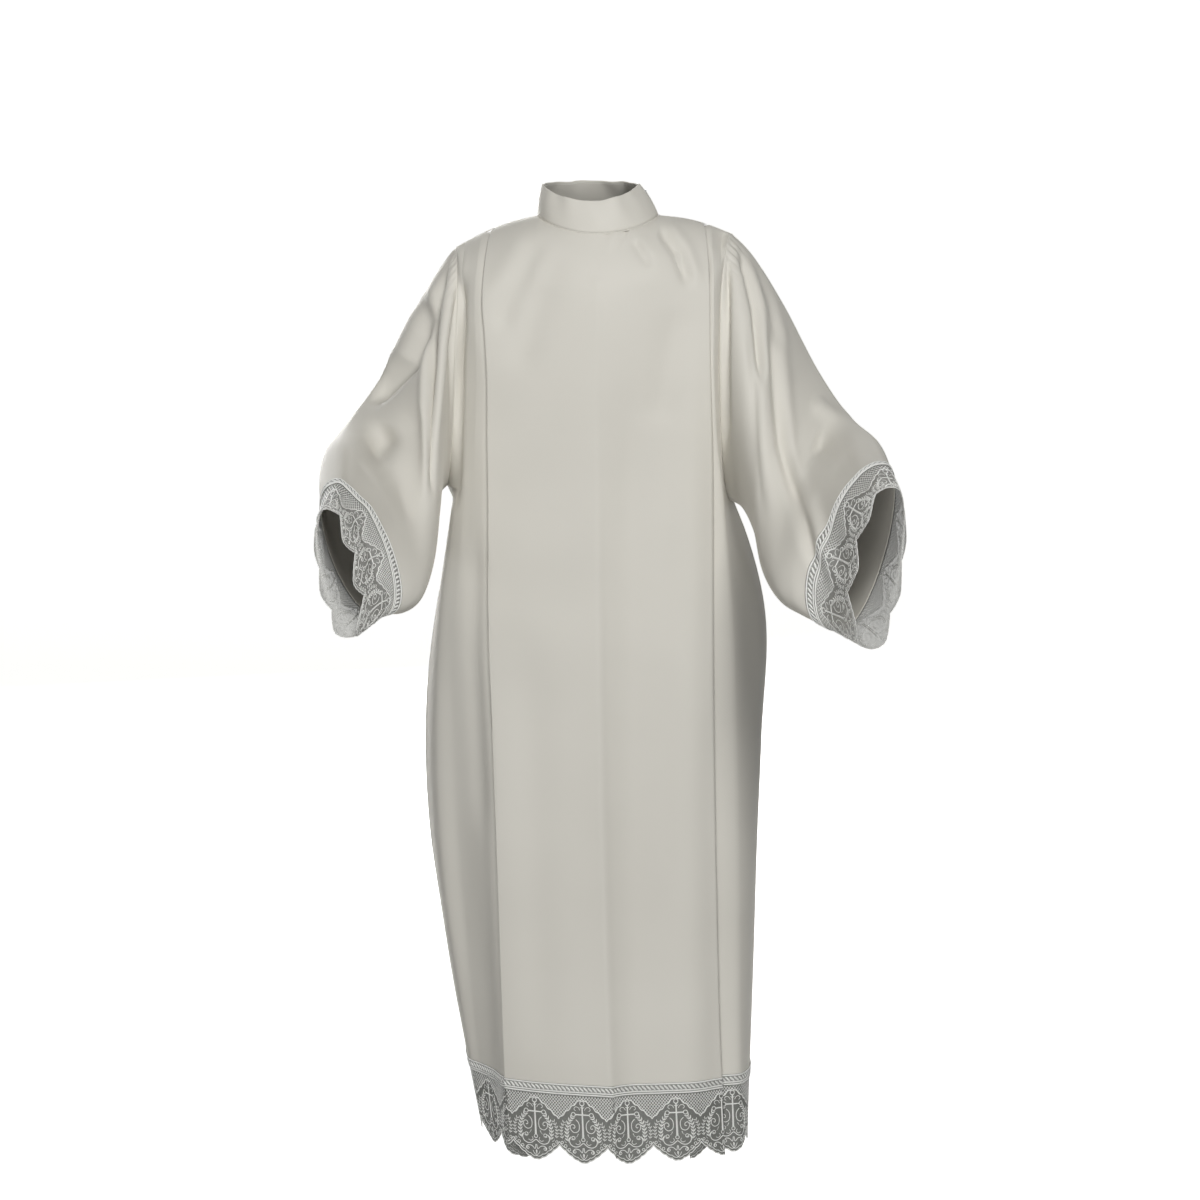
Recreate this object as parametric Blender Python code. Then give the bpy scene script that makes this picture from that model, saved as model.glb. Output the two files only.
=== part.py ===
"""Alb: a long white robe in its worn form, with a stand-up collar that zips at the left shoulder,
a front panel between two long pleats, wide sleeves, and scalloped lace at the hem and the cuffs.

Metres, +Z up, -Y is the wearer's front and +X the wearer's left. The origin is the middle of the
neck at the height of the shoulder line. Each cloth is a surface worked out from the tables below,
as a grid of rows and columns, and a Solidify modifier gives it its wall.
"""

import math

import bpy
import numpy as np
from mathutils import Matrix, Vector

# Walls and clearances.
CLOTH = 0.0015
LACE = 0.0012
HEADER_WALL = 0.0010
COLLAR_WALL = 0.0024
GAP = 0.0003
SEAM = (CLOTH + GAP) / 2
UNDERARM_EASE = 0.0024

# Neck and shoulders. The neckline is an ellipse, highest at the back.
NECK_HALF = 0.086
NECK_DEPTH = {"front": 0.078, "back": 0.068}
NECK_Z = {"front": -0.017, "side": 0.009, "back": 0.020}
SHOULDER_EDGE_X = 0.150
SHOULDER_SWELL = 0.006
BLEND_DROP = 0.10
COLLAR_TOP = {"middle_x": -0.0105, "half": 0.0685, "front": 0.064, "back": 0.058}
COLLAR_TOP_Z = {"front": 0.029, "side": 0.053, "back": 0.058}
COLLAR_RAISE = 0.0022
COLLAR_COLUMNS = 32
COLLAR_ROWS = 3

# The long pleats. A pleat edge folds under by its depth and comes out again two layers lower.
LAYER = 0.006
LAYER_AT_SHOULDER = 0.0026
PLEAT_DEPTH = 0.052
HEM_Z = -1.240
HEM_DIP = 0.002

# Lace: the header band over its seam, its drop below the cloth and the scallops of its edge.
HEADER = 0.016
HEADER_LIFT = 0.0005
LACE_DROP = 0.100
SCALLOP = 0.0705
SCALLOP_DEPTH = 0.024
SCALLOP_SHAPE = 1.5
SCALLOP_STEPS = 6
FIRST_TIP_X = -0.0235
CUFF_DROP = 0.098
CUFF_SCALLOPS = 7

# Zip: the gap that it fills, its tape and chain, and the slider with its pull tab.
ZIP_GAP = 0.0070
ZIP_END_X = 0.163
TAPE_WIDTH = 0.0062
TAPE_WALL = 0.0010
TAPE_DROP = 0.0023
CHAIN_WIDTH = 0.0050
CHAIN_WALL = 0.0016
CHAIN_DROP = 0.0007
SLIDER_BELOW_TOP = 0.013
SLIDER_SIZE = (0.0085, 0.0058, 0.0016)
BAIL_WIDTH = 0.0020
BAIL_BAR = 0.0008
BAIL_BORE = 0.0020
PULL_LENGTH = 0.0155
PULL_WIDTH = 0.0052
PULL_WALL = 0.0011
PULL_WINDOW = 0.0031

# Middle of the body at each height.
MIDDLE_COLUMNS = ("z", "x", "front_y", "back_y")
MIDDLE = (
    (-0.10, 0.000, -0.122, 0.104),
    (-0.22, 0.000, -0.140, 0.126),
    (-0.38, 0.002, -0.146, 0.124),
    (-0.55, 0.003, -0.149, 0.130),
    (-0.75, 0.006, -0.154, 0.138),
    (-0.95, 0.012, -0.162, 0.145),
    (-1.15, 0.019, -0.176, 0.150),
    (-1.36, 0.027, -0.192, 0.156),
)

# Front, each side of its middle: the pleat edge, the ridge of the strip beside it, the dip behind
# that ridge, and the side. Distances x are outward from the middle plane.
SIDE_COLUMNS = (
    "z", "edge_x", "edge_y", "ridge_x", "ridge_y", "dip_x", "dip_y", "side_x", "side_y",
)
FRONT_LEFT = (
    (-0.02, 0.157, -0.080, 0.1630, -0.0680, 0.1675, -0.0520, 0.1712, -0.0350),
    (-0.04, 0.157, -0.082, 0.1630, -0.0765, 0.1680, -0.0705, 0.1715, -0.0635),
    (-0.10, 0.157, -0.096, 0.1630, -0.0915, 0.1680, -0.0860, 0.1720, -0.0790),
    (-0.22, 0.157, -0.116, 0.1620, -0.1110, 0.1660, -0.1050, 0.1690, -0.0975),
    (-0.30, 0.158, -0.122, 0.1660, -0.1130, 0.1700, -0.1030, 0.1725, -0.0930),
    (-0.38, 0.159, -0.126, 0.1750, -0.1140, 0.1775, -0.0980, 0.1800, -0.0720),
    (-0.55, 0.160, -0.130, 0.1935, -0.1230, 0.2040, -0.0760, 0.2360, -0.0300),
    (-0.75, 0.163, -0.134, 0.2135, -0.1280, 0.2170, -0.0760, 0.2360, -0.0250),
    (-0.95, 0.168, -0.138, 0.2290, -0.1260, 0.2240, -0.0760, 0.2300, -0.0200),
    (-1.15, 0.174, -0.146, 0.2245, -0.1380, 0.2200, -0.0850, 0.2220, -0.0250),
    (-1.36, 0.185, -0.156, 0.2215, -0.1500, 0.2140, -0.0950, 0.2100, -0.0300),
)
FRONT_RIGHT = (
    (-0.02, 0.162, -0.080, 0.1730, -0.0680, 0.1820, -0.0520, 0.1900, -0.0350),
    (-0.04, 0.162, -0.082, 0.1730, -0.0770, 0.1830, -0.0700, 0.1920, -0.0620),
    (-0.10, 0.162, -0.096, 0.1740, -0.0900, 0.1850, -0.0830, 0.1950, -0.0750),
    (-0.22, 0.156, -0.114, 0.1720, -0.1070, 0.1850, -0.0980, 0.1960, -0.0880),
    (-0.30, 0.156, -0.120, 0.1740, -0.1110, 0.1880, -0.0960, 0.1980, -0.0800),
    (-0.38, 0.155, -0.125, 0.1770, -0.1120, 0.1900, -0.0900, 0.2020, -0.0600),
    (-0.55, 0.156, -0.130, 0.1850, -0.1180, 0.2080, -0.0880, 0.2270, -0.0450),
    (-0.75, 0.150, -0.134, 0.1840, -0.1180, 0.2160, -0.0830, 0.2400, -0.0400),
    (-0.95, 0.144, -0.138, 0.1780, -0.1200, 0.2060, -0.0830, 0.2320, -0.0400),
    (-1.15, 0.138, -0.146, 0.1640, -0.1300, 0.1840, -0.0880, 0.2040, -0.0400),
    (-1.36, 0.129, -0.156, 0.1480, -0.1420, 0.1560, -0.0980, 0.1660, -0.0450),
)

# Back, both sides: the same stations, with all but the pleat edge as shares of the seam's x.
BACK = (
    (-0.02, 0.150, 0.071, 0.870, 0.0620, 0.930, 0.0500, 0.980, 0.0350),
    (-0.04, 0.150, 0.073, 0.870, 0.0705, 0.930, 0.0670, 0.980, 0.0620),
    (-0.10, 0.150, 0.084, 0.890, 0.0825, 0.945, 0.0800, 0.985, 0.0755),
    (-0.22, 0.146, 0.106, 0.880, 0.1025, 0.940, 0.0990, 0.985, 0.0930),
    (-0.38, 0.143, 0.108, 0.850, 0.1020, 0.920, 0.0900, 0.970, 0.0660),
    (-0.55, 0.142, 0.116, 0.800, 0.1120, 0.870, 0.0920, 0.950, 0.0780),
    (-0.75, 0.141, 0.122, 0.800, 0.1200, 0.860, 0.0960, 0.945, 0.0820),
    (-0.95, 0.139, 0.128, 0.800, 0.1270, 0.860, 0.1000, 0.940, 0.0850),
    (-1.15, 0.137, 0.133, 0.820, 0.1320, 0.870, 0.1040, 0.940, 0.0850),
    (-1.36, 0.128, 0.138, 0.840, 0.1360, 0.880, 0.1080, 0.940, 0.0850),
)

# Side seams below the underarm.
SEAM_COLUMNS = ("z", "x", "y")
SEAM_LEFT = (
    (-0.400, 0.196, -0.016),
    (-0.450, 0.216, 0.010),
    (-0.550, 0.243, 0.022),
    (-0.750, 0.242, 0.026),
    (-0.950, 0.224, 0.028),
    (-1.150, 0.214, 0.026),
    (-1.360, 0.204, 0.022),
)
SEAM_RIGHT = (
    (-0.378, 0.219, -0.008),
    (-0.450, 0.223, 0.008),
    (-0.550, 0.237, 0.014),
    (-0.670, 0.251, 0.018),
    (-0.890, 0.250, 0.020),
    (-1.020, 0.233, 0.020),
    (-1.150, 0.213, 0.018),
    (-1.360, 0.170, 0.012),
)

# Sleeve sections, from the armhole (along 0) to the cloth's edge (1) and the lace's reach (1.5).
# Each ring passes through its top, the point nearest the body or front, its bottom and its back.
RING_COLUMNS = (
    "along", "top_x", "top_y", "top_z", "front_x", "front_y", "front_z",
    "low_x", "low_y", "low_z", "back_x", "back_y", "back_z",
)
SLEEVE_LEFT = (
    (0.00, 0.193, 0.000, -0.018, 0.171, -0.090, -0.21, 0.196, -0.016, -0.400, 0.178, 0.082, -0.21),
    (0.16, 0.224, 0.004, -0.050, 0.194, -0.110, -0.23, 0.213, -0.048, -0.408, 0.214, 0.078, -0.22),
    (0.34, 0.270, 0.004, -0.123, 0.230, -0.140, -0.29, 0.232, -0.110, -0.438, 0.262, 0.060, -0.28),
    (0.52, 0.318, -0.020, -0.214, 0.246, -0.190, -0.37, 0.255, -0.185, -0.482, 0.303, 0.030, -0.38),
    (0.68, 0.357, -0.070, -0.273, 0.257, -0.240, -0.41, 0.283, -0.245, -0.510, 0.347, -0.050, -0.41),
    (0.84, 0.381, -0.210, -0.295, 0.277, -0.300, -0.42, 0.303, -0.305, -0.524, 0.376, -0.205, -0.43),
    (1.00, 0.378, -0.355, -0.316, 0.299, -0.360, -0.43, 0.322, -0.362, -0.537, 0.384, -0.350, -0.43),
    (1.50, 0.384, -0.455, -0.338, 0.343, -0.465, -0.44, 0.362, -0.463, -0.552, 0.398, -0.450, -0.45),
)
SLEEVE_RIGHT = (
    (0.00, 0.203, 0.000, -0.036, 0.203, -0.076, -0.21, 0.219, -0.008, -0.378, 0.190, 0.080, -0.21),
    (0.16, 0.229, 0.004, -0.068, 0.216, -0.098, -0.23, 0.230, -0.030, -0.388, 0.218, 0.078, -0.22),
    (0.34, 0.270, 0.004, -0.136, 0.233, -0.125, -0.29, 0.238, -0.085, -0.420, 0.256, 0.060, -0.28),
    (0.52, 0.313, -0.020, -0.222, 0.244, -0.160, -0.37, 0.256, -0.150, -0.474, 0.300, 0.030, -0.37),
    (0.68, 0.350, -0.070, -0.277, 0.252, -0.220, -0.42, 0.280, -0.220, -0.505, 0.342, -0.050, -0.40),
    (0.84, 0.357, -0.210, -0.304, 0.264, -0.290, -0.43, 0.288, -0.290, -0.518, 0.370, -0.205, -0.41),
    (1.00, 0.350, -0.355, -0.342, 0.286, -0.360, -0.42, 0.287, -0.362, -0.518, 0.356, -0.350, -0.44),
    (1.50, 0.354, -0.455, -0.366, 0.325, -0.462, -0.45, 0.326, -0.460, -0.540, 0.364, -0.450, -0.46),
)
RING_FULLNESS = 0.88
ARMHOLE_STEPS = 10
SLEEVE_STEPS = 11

# Rows of the body from the underarm to the hem, as shares of that height.
LOWER_ROWS = (0.05, 0.14, 0.27, 0.42, 0.58, 0.74, 0.89)

# Columns of the body from its middle to a seam: the station along the section (0 middle, 1 pleat
# edge, 2 ridge, 3 dip, 4 side, 5 seam), how far the cloth is folded back from there, as a share
# of the pleat's depth, and how many layers it lies below the surface.
COLUMNS = (
    (0.00, 0.00, 0.0),
    (0.14, 0.00, 0.0),
    (0.28, 0.00, 0.0),
    (0.42, 0.00, 0.0),
    (0.555, 0.00, 0.0),
    (0.78, 0.00, 0.0),
    (0.985, 0.00, 0.0),
    (1.00, 0.00, 0.5),
    (1.00, 0.05, 1.0),
    (1.00, 0.95, 1.0),
    (1.00, 1.00, 1.5),
    (1.00, 0.95, 2.0),
    (1.00, 0.05, 2.0),
    (1.40, 0.00, 1.5),
    (1.75, 0.00, 0.5),
    (2.00, 0.00, 0.0),
    (2.50, 0.00, 0.0),
    (3.00, 0.00, 0.0),
    (3.50, 0.00, 0.0),
    (4.00, 0.00, 0.0),
    (5.00, 0.00, 0.0),
)
NECK_STATION = 0.555

SLEEVES = {"left": SLEEVE_LEFT, "right": SLEEVE_RIGHT}
SEAMS = {"left": SEAM_LEFT, "right": SEAM_RIGHT}
FRONTS = {"left": FRONT_LEFT, "right": FRONT_RIGHT}
SIGN = {"left": 1.0, "right": -1.0}
OUTWARD = {"front": -1.0, "back": 1.0}
LAST_COLUMN = len(COLUMNS) - 1


def smooth(keys, values, at):
    """A cubic curve through (keys, values), each slope worked out from its two neighbours."""
    keys, values = np.asarray(keys, float), np.asarray(values, float)
    slopes = np.gradient(values, keys)
    at = np.clip(at, keys[0], keys[-1])
    k = np.clip(np.searchsorted(keys, at, side="right") - 1, 0, len(keys) - 2)
    span = keys[k + 1] - keys[k]
    t = (at - keys[k]) / span
    start = (1 + 2 * t) * (1 - t) ** 2 * values[k] + t * (1 - t) ** 2 * span * slopes[k]
    end = t * t * (3 - 2 * t) * values[k + 1] + t * t * (t - 1) * span * slopes[k + 1]
    return start + end


def column(table, names, name, at):
    """The named column of a table, read at other values of its first column."""
    rows = sorted(table)
    k = names.index(name)
    return smooth([row[0] for row in rows], [row[k] for row in rows], at)


def unit(vectors):
    return vectors / np.linalg.norm(vectors, axis=-1, keepdims=True)


def ring_point(side, along, angle):
    """A point of a sleeve. The angle starts at the top and goes round by the front."""
    along, angle = np.broadcast_arrays(np.asarray(along, float), np.asarray(angle, float))
    corner = {}
    for name in ("top", "front", "low", "back"):
        axes = [column(SLEEVES[side], RING_COLUMNS, f"{name}_{axis}", along) for axis in "xyz"]
        corner[name] = np.stack(axes, axis=-1)
    middle = (corner["top"] + corner["low"]) / 2
    swing = np.sin(angle)[..., None]
    belly = np.where(swing >= 0, corner["front"], corner["back"]) - middle
    point = middle + (corner["top"] - corner["low"]) / 2 * np.cos(angle)[..., None]
    point = point + belly * np.abs(swing) ** RING_FULLNESS
    return point * (SIGN[side], 1, 1)


def armhole_z(side, share):
    """Height at a share of the way down the armhole, from the shoulder's tip to the underarm."""
    top, low = (SLEEVES[side][0][RING_COLUMNS.index(name)] for name in ("top_z", "low_z"))
    return top + (low - top) * share


def seam_stations(side, face, z):
    """Where the front or the back ends at height z: on the armhole, then on the side seam."""
    top, low = armhole_z(side, 0), armhole_z(side, 1)
    turn = np.arccos(np.clip((2 * z - top - low) / (top - low), -1, 1))
    armhole = ring_point(side, 0, -OUTWARD[face] * turn)
    seam_x, seam_y = (column(SEAMS[side], SEAM_COLUMNS, axis, z) for axis in "xy")
    x = np.where(z > low, armhole[..., 0] * SIGN[side], seam_x)
    y = np.where(z > low, armhole[..., 1], seam_y)
    return x, y


def section(side, face, z):
    """The six stations of the half section at height z, with x outward and y."""
    table = FRONTS[side] if face == "front" else BACK
    seam_x, seam_y = seam_stations(side, face, z)
    xs = [column(MIDDLE, MIDDLE_COLUMNS, "x", z) * SIGN[side]]
    ys = [column(MIDDLE, MIDDLE_COLUMNS, f"{face}_y", z)]
    for name in ("edge", "ridge", "dip", "side"):
        scale = seam_x if face == "back" and name != "edge" else 1
        xs.append(column(table, SIDE_COLUMNS, f"{name}_x", z) * scale)
        ys.append(column(table, SIDE_COLUMNS, f"{name}_y", z))
    return np.stack([np.array(xs + [seam_x]), np.array(ys + [seam_y])], axis=-1)


def along_section(stations, station):
    """The plan point at a place counted in stations, and the unit heading of the curve there."""
    chords = np.linalg.norm(np.diff(stations, axis=0), axis=-1)[..., None]
    inner = (stations[2:] - stations[:-2]) / (chords[1:] + chords[:-1])
    first = np.broadcast_to((1.0, 0.0), stations[:1].shape)
    last = (stations[-1:] - stations[-2:-1]) / chords[-1:]
    slopes = np.concatenate([first, inner, last])
    k = np.clip(station.astype(int), 0, len(chords) - 1)
    here = (k, *np.indices(k.shape))
    after = (k + 1, *np.indices(k.shape))
    t = (station - k)[..., None]
    start, end = stations[here], stations[after]
    leave, arrive = slopes[here] * chords[here], slopes[after] * chords[here]
    point = (1 + 2 * t) * (1 - t) ** 2 * start + t * (1 - t) ** 2 * leave
    point = point + t * t * (3 - 2 * t) * end + t * t * (t - 1) * arrive
    heading = 6 * t * (t - 1) * (start - end)
    heading = heading + (1 - t) * (1 - 3 * t) * leave + t * (3 * t - 2) * arrive
    return point, unit(heading)


def top_edge(side, face, station):
    """The neckline up to the neck's side, then the shoulder seam out to the armhole."""
    turn = np.minimum(station / NECK_STATION, 1) * math.pi / 2
    tip = ring_point(side, 0, 0)
    tip_x = abs(tip[0])
    seam_x = np.interp(station, (NECK_STATION, 1, 5), (NECK_HALF, SHOULDER_EDGE_X, tip_x))
    reach = (seam_x - NECK_HALF) / (tip_x - NECK_HALF)
    neck_z = NECK_Z["side"] + (NECK_Z[face] - NECK_Z["side"]) * np.cos(turn) ** 1.5
    seam_z = NECK_Z["side"] + (tip[2] - NECK_Z["side"]) * reach
    seam_z = seam_z + SHOULDER_SWELL * np.sin(math.pi * reach)
    on_neck = station < NECK_STATION
    x = np.where(on_neck, NECK_HALF * np.sin(turn), seam_x)
    y = OUTWARD[face] * np.where(on_neck, NECK_DEPTH[face] * np.cos(turn), 0)
    return x, y, np.where(on_neck, neck_z, seam_z)


def shoulder_clearance(side, x):
    """Half the gap of the shoulder seam: wide where the zip lies, else a plain seam."""
    marks = (NECK_HALF - 0.004, NECK_HALF, ZIP_END_X, ZIP_END_X + 0.010)
    zipped = np.interp(x, marks, (0, 1, 1, 0)) if side == "left" else 0
    return SEAM + zipped * (ZIP_GAP / 2 - SEAM)


def column_at(place):
    """Station, fold and layer at a place counted in columns from the middle."""
    count = np.arange(len(COLUMNS))
    return [np.interp(place, count, values) for values in zip(*COLUMNS)]


def top_height(side, face, place):
    """Height of the cloth's top edge, and its station there."""
    station, folded, _ = column_at(place)
    station = station - folded * PLEAT_DEPTH / SHOULDER_EDGE_X
    return top_edge(side, face, station)[2], station


def half_body(side, face, place, z):
    """Points of one half of the front or the back, at a place along the cloth and a height."""
    place, z = np.broadcast_arrays(place, z)
    station, folded, layer = column_at(place)
    stations = section(side, face, z)
    edge_chord = np.linalg.norm(stations[1] - stations[0], axis=-1)
    point, heading = along_section(stations, station - folded * PLEAT_DEPTH / edge_chord)
    under = np.stack([heading[..., 1], -heading[..., 0]], axis=-1) * OUTWARD[face]
    top_z, top_station = top_height(side, face, place)
    top_x, top_y, _ = top_edge(side, face, top_station)
    top_y = top_y + OUTWARD[face] * shoulder_clearance(side, top_x)
    top = np.stack([top_x, top_y], axis=-1)
    drop = np.clip((top_z - z) / BLEND_DROP, 0, 1)
    power = np.interp(station, (0, NECK_STATION, 4, 5), (1, 0.5, 0.5, 0))
    weight = np.where(drop > 0, np.sin(drop * math.pi / 2) ** power, 0)[..., None]
    layer = layer[..., None]
    plan = top + (point - top) * weight + under * layer * LAYER * weight
    height = z[..., None] - layer * LAYER_AT_SHOULDER * (1 - weight)
    return np.concatenate([plan * (SIGN[side], 1), height], axis=-1)


def body(face, places, height):
    """Points of the whole front or back. A negative place is on the wearer's right, and
    height(side, place) gives the rows' heights at the places of one side."""
    right, left = -places[places < 0], places[places >= 0]
    halves = [half_body("right", face, right, height("right", right))]
    halves.append(half_body("left", face, left, height("left", left)))
    return np.concatenate(halves, axis=1)


def hem_z(side, face, place):
    """Height of the cloth's lower edge, which dips a little in the middle."""
    x = half_body(side, face, place, np.full(place.shape, HEM_Z))[..., 0]
    return HEM_Z - HEM_DIP * np.clip(1 - (x / 0.2) ** 2, 0, 1)


def body_rows(face):
    """Heights of the body's rows. The upper ones end at even steps round the armhole."""
    turn = np.linspace(0, math.pi, ARMHOLE_STEPS + 1)[:, None]

    def height(side, place):
        top, under, hem = top_height(side, face, place)[0], armhole_z(side, 1), hem_z(side, face, place)
        upper = top + (under - top) * (1 - np.cos(turn)) / 2
        shares = np.array(LOWER_ROWS + (1 - HEADER / (under - HEM_Z), 1))[:, None]
        return np.concatenate([upper, under + (hem - under) * shares])

    return height


def inward(edge, inner):
    """Headings from an edge of a grid toward its inner neighbours, at right angles to the edge."""
    heading = unit(np.gradient(edge, axis=0))
    reach = inner - edge
    return unit(reach - heading * (reach * heading).sum(axis=-1, keepdims=True))


def drawn_in(grid, top=0, first=0, last=0):
    """The grid with its edges drawn in along the cloth by these distances."""
    drawn = grid.copy()
    drawn[0] += inward(grid[0], grid[1]) * np.broadcast_to(top, grid.shape[1])[:, None]
    drawn[:, 0] += inward(grid[:, 0], grid[:, 1]) * first
    drawn[:, -1] += inward(grid[:, -1], grid[:, -2]) * last
    return drawn


def material(name, colour, roughness, metallic=0.0):
    made = bpy.data.materials.new(name)
    made.use_nodes = True
    shader = made.node_tree.nodes["Principled BSDF"]
    shader.inputs["Base Color"].default_value = (*colour, 1)
    shader.inputs["Roughness"].default_value = roughness
    shader.inputs["Metallic"].default_value = metallic
    return made


def wall(name, grid, thickness, finish, closed=False):
    """A solid wall whose middle surface is the grid, split the same way on both of its faces."""
    rows, count = grid.shape[:2]
    faces = []
    for row in range(rows - 1):
        for k in range(count if closed else count - 1):
            a, b = row * count + k, row * count + (k + 1) % count
            faces += [(a, b, b + count), (a, b + count, a + count)]
    mesh = bpy.data.meshes.new(name)
    mesh.from_pydata(grid.reshape(-1, 3).tolist(), [], faces)
    mesh.materials.append(finish)
    mesh.shade_smooth()
    made = bpy.data.objects.new(name, mesh)
    bpy.context.collection.objects.link(made)
    solid = made.modifiers.new("Wall", "SOLIDIFY")
    solid.thickness = thickness
    solid.offset = 0
    return made


def lifted(grid, distance, closed=False):
    """The grid moved along its normals, the way that a right hand turns its rows into its columns."""
    if closed:
        across = np.roll(grid, -1, axis=1) - np.roll(grid, 1, axis=1)
    else:
        across = np.gradient(grid, axis=1)
    normal = unit(np.cross(np.gradient(grid, axis=0), across))
    return grid + normal * distance


def build_body(face, cloth, lace):
    """The front or the back, the header over its hem seam, and its lace."""
    places = np.arange(-LAST_COLUMN, LAST_COLUMN + 1).astype(float)
    grid = body(face, places, body_rows(face))
    wall(f"body_{face}", drawn_in(grid, first=SEAM, last=SEAM), CLOTH, cloth)
    lift = (CLOTH + HEADER_WALL) / 2 + GAP + HEADER_LIFT
    band = lifted(grid, lift * -OUTWARD[face])[-2:]
    wall(f"hem_header_{face}", drawn_in(band, first=2 * SEAM, last=2 * SEAM), HEADER_WALL, lace)
    wall(f"hem_lace_{face}", drawn_in(hem_lace(face), first=SEAM, last=SEAM), LACE, lace)


def scallop_drop(turns, drop):
    """How far the lace hangs: fully at a tip, where turns is a whole number, less in a notch."""
    from_tip = np.abs(turns - np.round(turns)) * 2
    return drop - SCALLOP_DEPTH * from_tip**SCALLOP_SHAPE


def hem_lace(face):
    """Lace below the hem. Its columns are the body's and six to a scallop, by length of cloth."""
    fine = np.linspace(-LAST_COLUMN, LAST_COLUMN, 1601)
    edge = body(face, fine, lambda side, place: hem_z(side, face, place)[None])[0]
    length = np.concatenate([[0], np.cumsum(np.linalg.norm(np.diff(edge, axis=0), axis=1))])
    panel = np.abs(fine) < 6
    start = np.interp(FIRST_TIP_X, edge[panel, 0], length[panel])
    step = SCALLOP / SCALLOP_STEPS
    first, last = np.ceil(-start / step), np.floor((length[-1] - start) / step)
    marks = start + step * np.arange(first, last + 1)
    own = np.interp(np.arange(-LAST_COLUMN, LAST_COLUMN + 1), fine, length)
    marks = marks[np.abs(marks[:, None] - own).min(axis=1) > 0.002]
    marks = np.sort(np.concatenate([marks, own]))
    places = np.interp(marks, length, fine)
    drops = dict(zip(places, scallop_drop((marks - start) / SCALLOP, LACE_DROP)))

    def height(side, place):
        drop = np.array([drops[SIGN[side] * value] for value in place])
        return hem_z(side, face, place) - GAP - drop * np.linspace(0, 1, 3)[:, None]

    return body(face, places, height)


def build_sleeve(side, cloth, lace):
    """A sleeve from the armhole to its cuff, the header over the cuff seam, and the lace."""
    half = np.linspace(0, math.pi, ARMHOLE_STEPS + 1)
    angles = np.concatenate([half, 2 * math.pi - half[-2:0:-1]])
    header_along = 1 - HEADER / cuff_stretch(side, angles)
    even = np.linspace(0, 1, SLEEVE_STEPS + 1)[:-1, None] * np.ones_like(angles)
    grid = ring_point(side, np.vstack([even, header_along, np.ones_like(angles)]), angles)
    clearance = SEAM + UNDERARM_EASE * (1 - np.cos(angles)) / 2
    wall(f"sleeve_{side}", drawn_in(grid, top=clearance), CLOTH, cloth, closed=True)
    lift = (CLOTH + HEADER_WALL) / 2 + GAP + HEADER_LIFT
    band = lifted(grid, lift * -SIGN[side], closed=True)[-2:]
    wall(f"cuff_header_{side}", band, HEADER_WALL, lace, closed=True)
    wall(f"cuff_lace_{side}", cuff_lace(side), LACE, lace, closed=True)


def cuff_stretch(side, angles):
    """Length of cloth for each unit of along, at the cuff."""
    near = ring_point(side, 1, angles) - ring_point(side, 0.98, angles)
    return np.linalg.norm(near, axis=-1) / 0.02


def cuff_lace(side):
    fine = np.linspace(0, 2 * math.pi, 721)
    ring = ring_point(side, 1, fine)
    length = np.concatenate([[0], np.cumsum(np.linalg.norm(np.diff(ring, axis=0), axis=1))])
    turns = np.arange(CUFF_SCALLOPS * SCALLOP_STEPS) / SCALLOP_STEPS
    angles = np.interp(turns / CUFF_SCALLOPS * length[-1], length, fine)
    reach = np.linalg.norm(ring_point(side, 1.5, angles) - ring_point(side, 1, angles), axis=-1)
    far = 0.5 * scallop_drop(turns, CUFF_DROP) / reach
    start = SEAM / cuff_stretch(side, angles)
    return ring_point(side, 1 + start + (far - start) * np.linspace(0, 1, 3)[:, None], angles)


def collar_ring(turn, share):
    """A point of the collar. The turn starts at the wearer's left and goes round by the front."""
    swing = np.sin(turn)
    ahead = swing >= 0
    high = np.abs(swing) ** 1.5
    low_depth = np.where(ahead, NECK_DEPTH["front"], NECK_DEPTH["back"])
    top_depth = np.where(ahead, COLLAR_TOP["front"], COLLAR_TOP["back"])
    low_face = np.where(ahead, NECK_Z["front"], NECK_Z["back"]) - NECK_Z["side"]
    top_face = np.where(ahead, COLLAR_TOP_Z["front"], COLLAR_TOP_Z["back"]) - COLLAR_TOP_Z["side"]
    low = (NECK_HALF * np.cos(turn), -low_depth * swing, NECK_Z["side"] + low_face * high)
    top_x = COLLAR_TOP["middle_x"] + COLLAR_TOP["half"] * np.cos(turn)
    top = (top_x, -top_depth * swing, COLLAR_TOP_Z["side"] + top_face * high)
    low, top = np.stack(low, axis=-1) + (0, 0, COLLAR_RAISE), np.stack(top, axis=-1)
    return low + (top - low) * share


def build_collar(cloth):
    """A stand-up collar, open by the zip's gap at the wearer's left."""
    open_turn = math.asin(ZIP_GAP / 2 / COLLAR_TOP["front"])
    turn = np.linspace(open_turn, 2 * math.pi - open_turn, COLLAR_COLUMNS + 1)
    share = np.linspace(1, 0, COLLAR_ROWS + 1)[:, None, None]
    wall("collar", collar_ring(turn, share), COLLAR_WALL, cloth)


def zip_path():
    """Points (x, z) of the zip's line, from the collar's top over the neck to the shoulder."""
    collar = collar_ring(np.zeros(5), np.array([0.97, 0.72, 0.47, 0.25, 0.10])[:, None])
    x = np.linspace(NECK_HALF + 0.006, ZIP_END_X, 6)
    tip_x = abs(ring_point("left", 0, 0)[0])
    station = np.interp(x, (NECK_HALF, SHOULDER_EDGE_X, tip_x), (NECK_STATION, 1, 5))
    z = top_edge("left", "front", station)[2]
    return np.concatenate([collar[:, ::2], np.stack([x, z], axis=-1)])


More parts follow.
